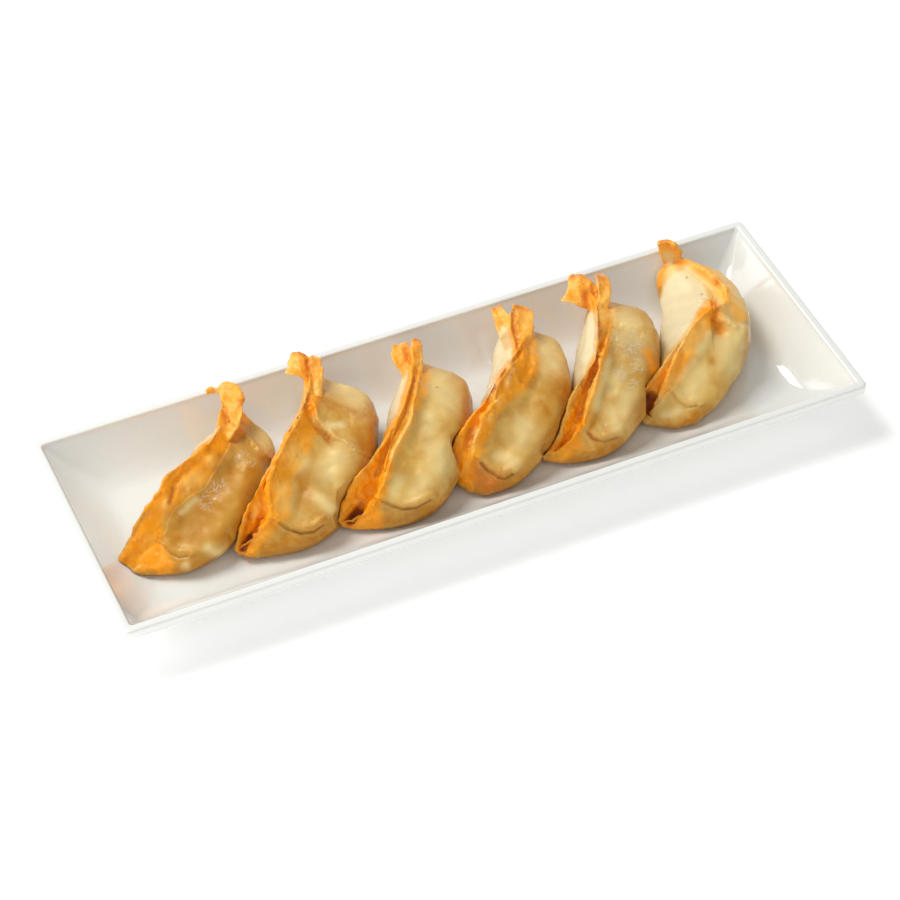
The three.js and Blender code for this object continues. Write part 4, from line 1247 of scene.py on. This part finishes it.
def porcelainMaterial():
    look = porcelainLook
    material, tree, shader, place = newMaterial("whitePorcelain")
    patches = groupOutputs(tree, mottling, place, look["patches"])
    ripple = groupOutputs(tree, mottling, place, look["ripple"])
    tint = layered(tree, colour(*look["glaze"]), [(patches["Patches"], colour(*look["glazeWarm"]))])
    most = look["roughness"] + look["rougher"]
    rough = remapNode(tree, patches["Grain"], 0.3, 0.7, look["roughness"], most)
    bump = addNode(tree, "ShaderNodeBump", look["bump"])
    joinSockets(tree, (tint, shader.inputs["Base Color"]), (rough, shader.inputs["Roughness"]),
                (ripple["Patches"], bump.inputs["Height"]), (bump.outputs[0], shader.inputs["Normal"]))
    setInputs(shader, look["shine"])
    return material


floorLook = {
    "pale": (252, 252, 252), "paleWarm": (250, 250, 249), "patches": {"Size": 0.4, "Contrast": 1.0},
    "shine": {"Roughness": 0.9, "Emission Color": (1.0, 1.0, 1.0, 1.0), "Emission Strength": 0.22},
}


def floorMaterial():
    look = floorLook
    material, tree, shader, place = newMaterial("paleFloor")
    patches = groupOutputs(tree, mottling, place, look["patches"])
    tint = layered(tree, colour(*look["pale"]), [(patches["Patches"], colour(*look["paleWarm"]))])
    tree.links.new(tint, shader.inputs["Base Color"])
    setInputs(shader, look["shine"])
    return material


print("materials ready")

for i, d in enumerate(dumplings):
    d["next"] = dumplings[i + 1] if i + 1 < len(dumplings) else None
    d["limits"] = leftLimits(d)

buildPlate(porcelainMaterial())
print("plate built")
for i in range(len(dumplings)):
    buildDumpling(i, doughMaterial(i))

# floor and light: lengths in metres, powers in watts
studio = {
    "floorSide": 8.0, "floorSteps": 8, "worldLight": 0.47,
    "key": {"place": (-0.42, 0.6, 1.15), "size": (0.6, 0.6), "power": 12.5, "tint": (1.0, 0.99, 0.97)},
    "window": {"place": (-0.98, 0.85, 0.52), "size": (1.5, 0.95), "power": 6.5, "tint": (1.0, 1.0, 1.0)},
    "fill": {"place": (-1.0, -1.3, 0.6), "size": (1.6, 0.8), "power": 7.5, "tint": (1.0, 1.0, 1.0)},
}


def buildFloor():
    bm = bmesh.new()
    steps = studio["floorSteps"]
    bmesh.ops.create_grid(bm, x_segments=steps, y_segments=steps, size=studio["floorSide"] / 2)
    mesh = meshFrom(bm, "floor")
    mesh.materials.append(floorMaterial())
    linked("floor", mesh)


# a soft rectangular light that faces the object
def areaLight(name, place, size, power, tint):
    light = bpy.data.lights.new(name, "AREA")
    light.shape = "RECTANGLE"
    light.size, light.size_y = size
    light.energy = power
    light.color = tint
    lamp = linked(name, light)
    lamp.location = place
    lamp.rotation_euler = Vector(place).to_track_quat("Z", "Y").to_euler()


buildFloor()
for name in ("key", "window", "fill"):
    areaLight(name, **studio[name])
world = bpy.data.worlds.new("studio")
world.use_nodes = True
sky = world.node_tree.nodes["Background"]
setInputs(sky, {"Color": (1.0, 1.0, 1.0, 1.0), "Strength": studio["worldLight"]})
bpy.context.scene.world = world
print("light set")
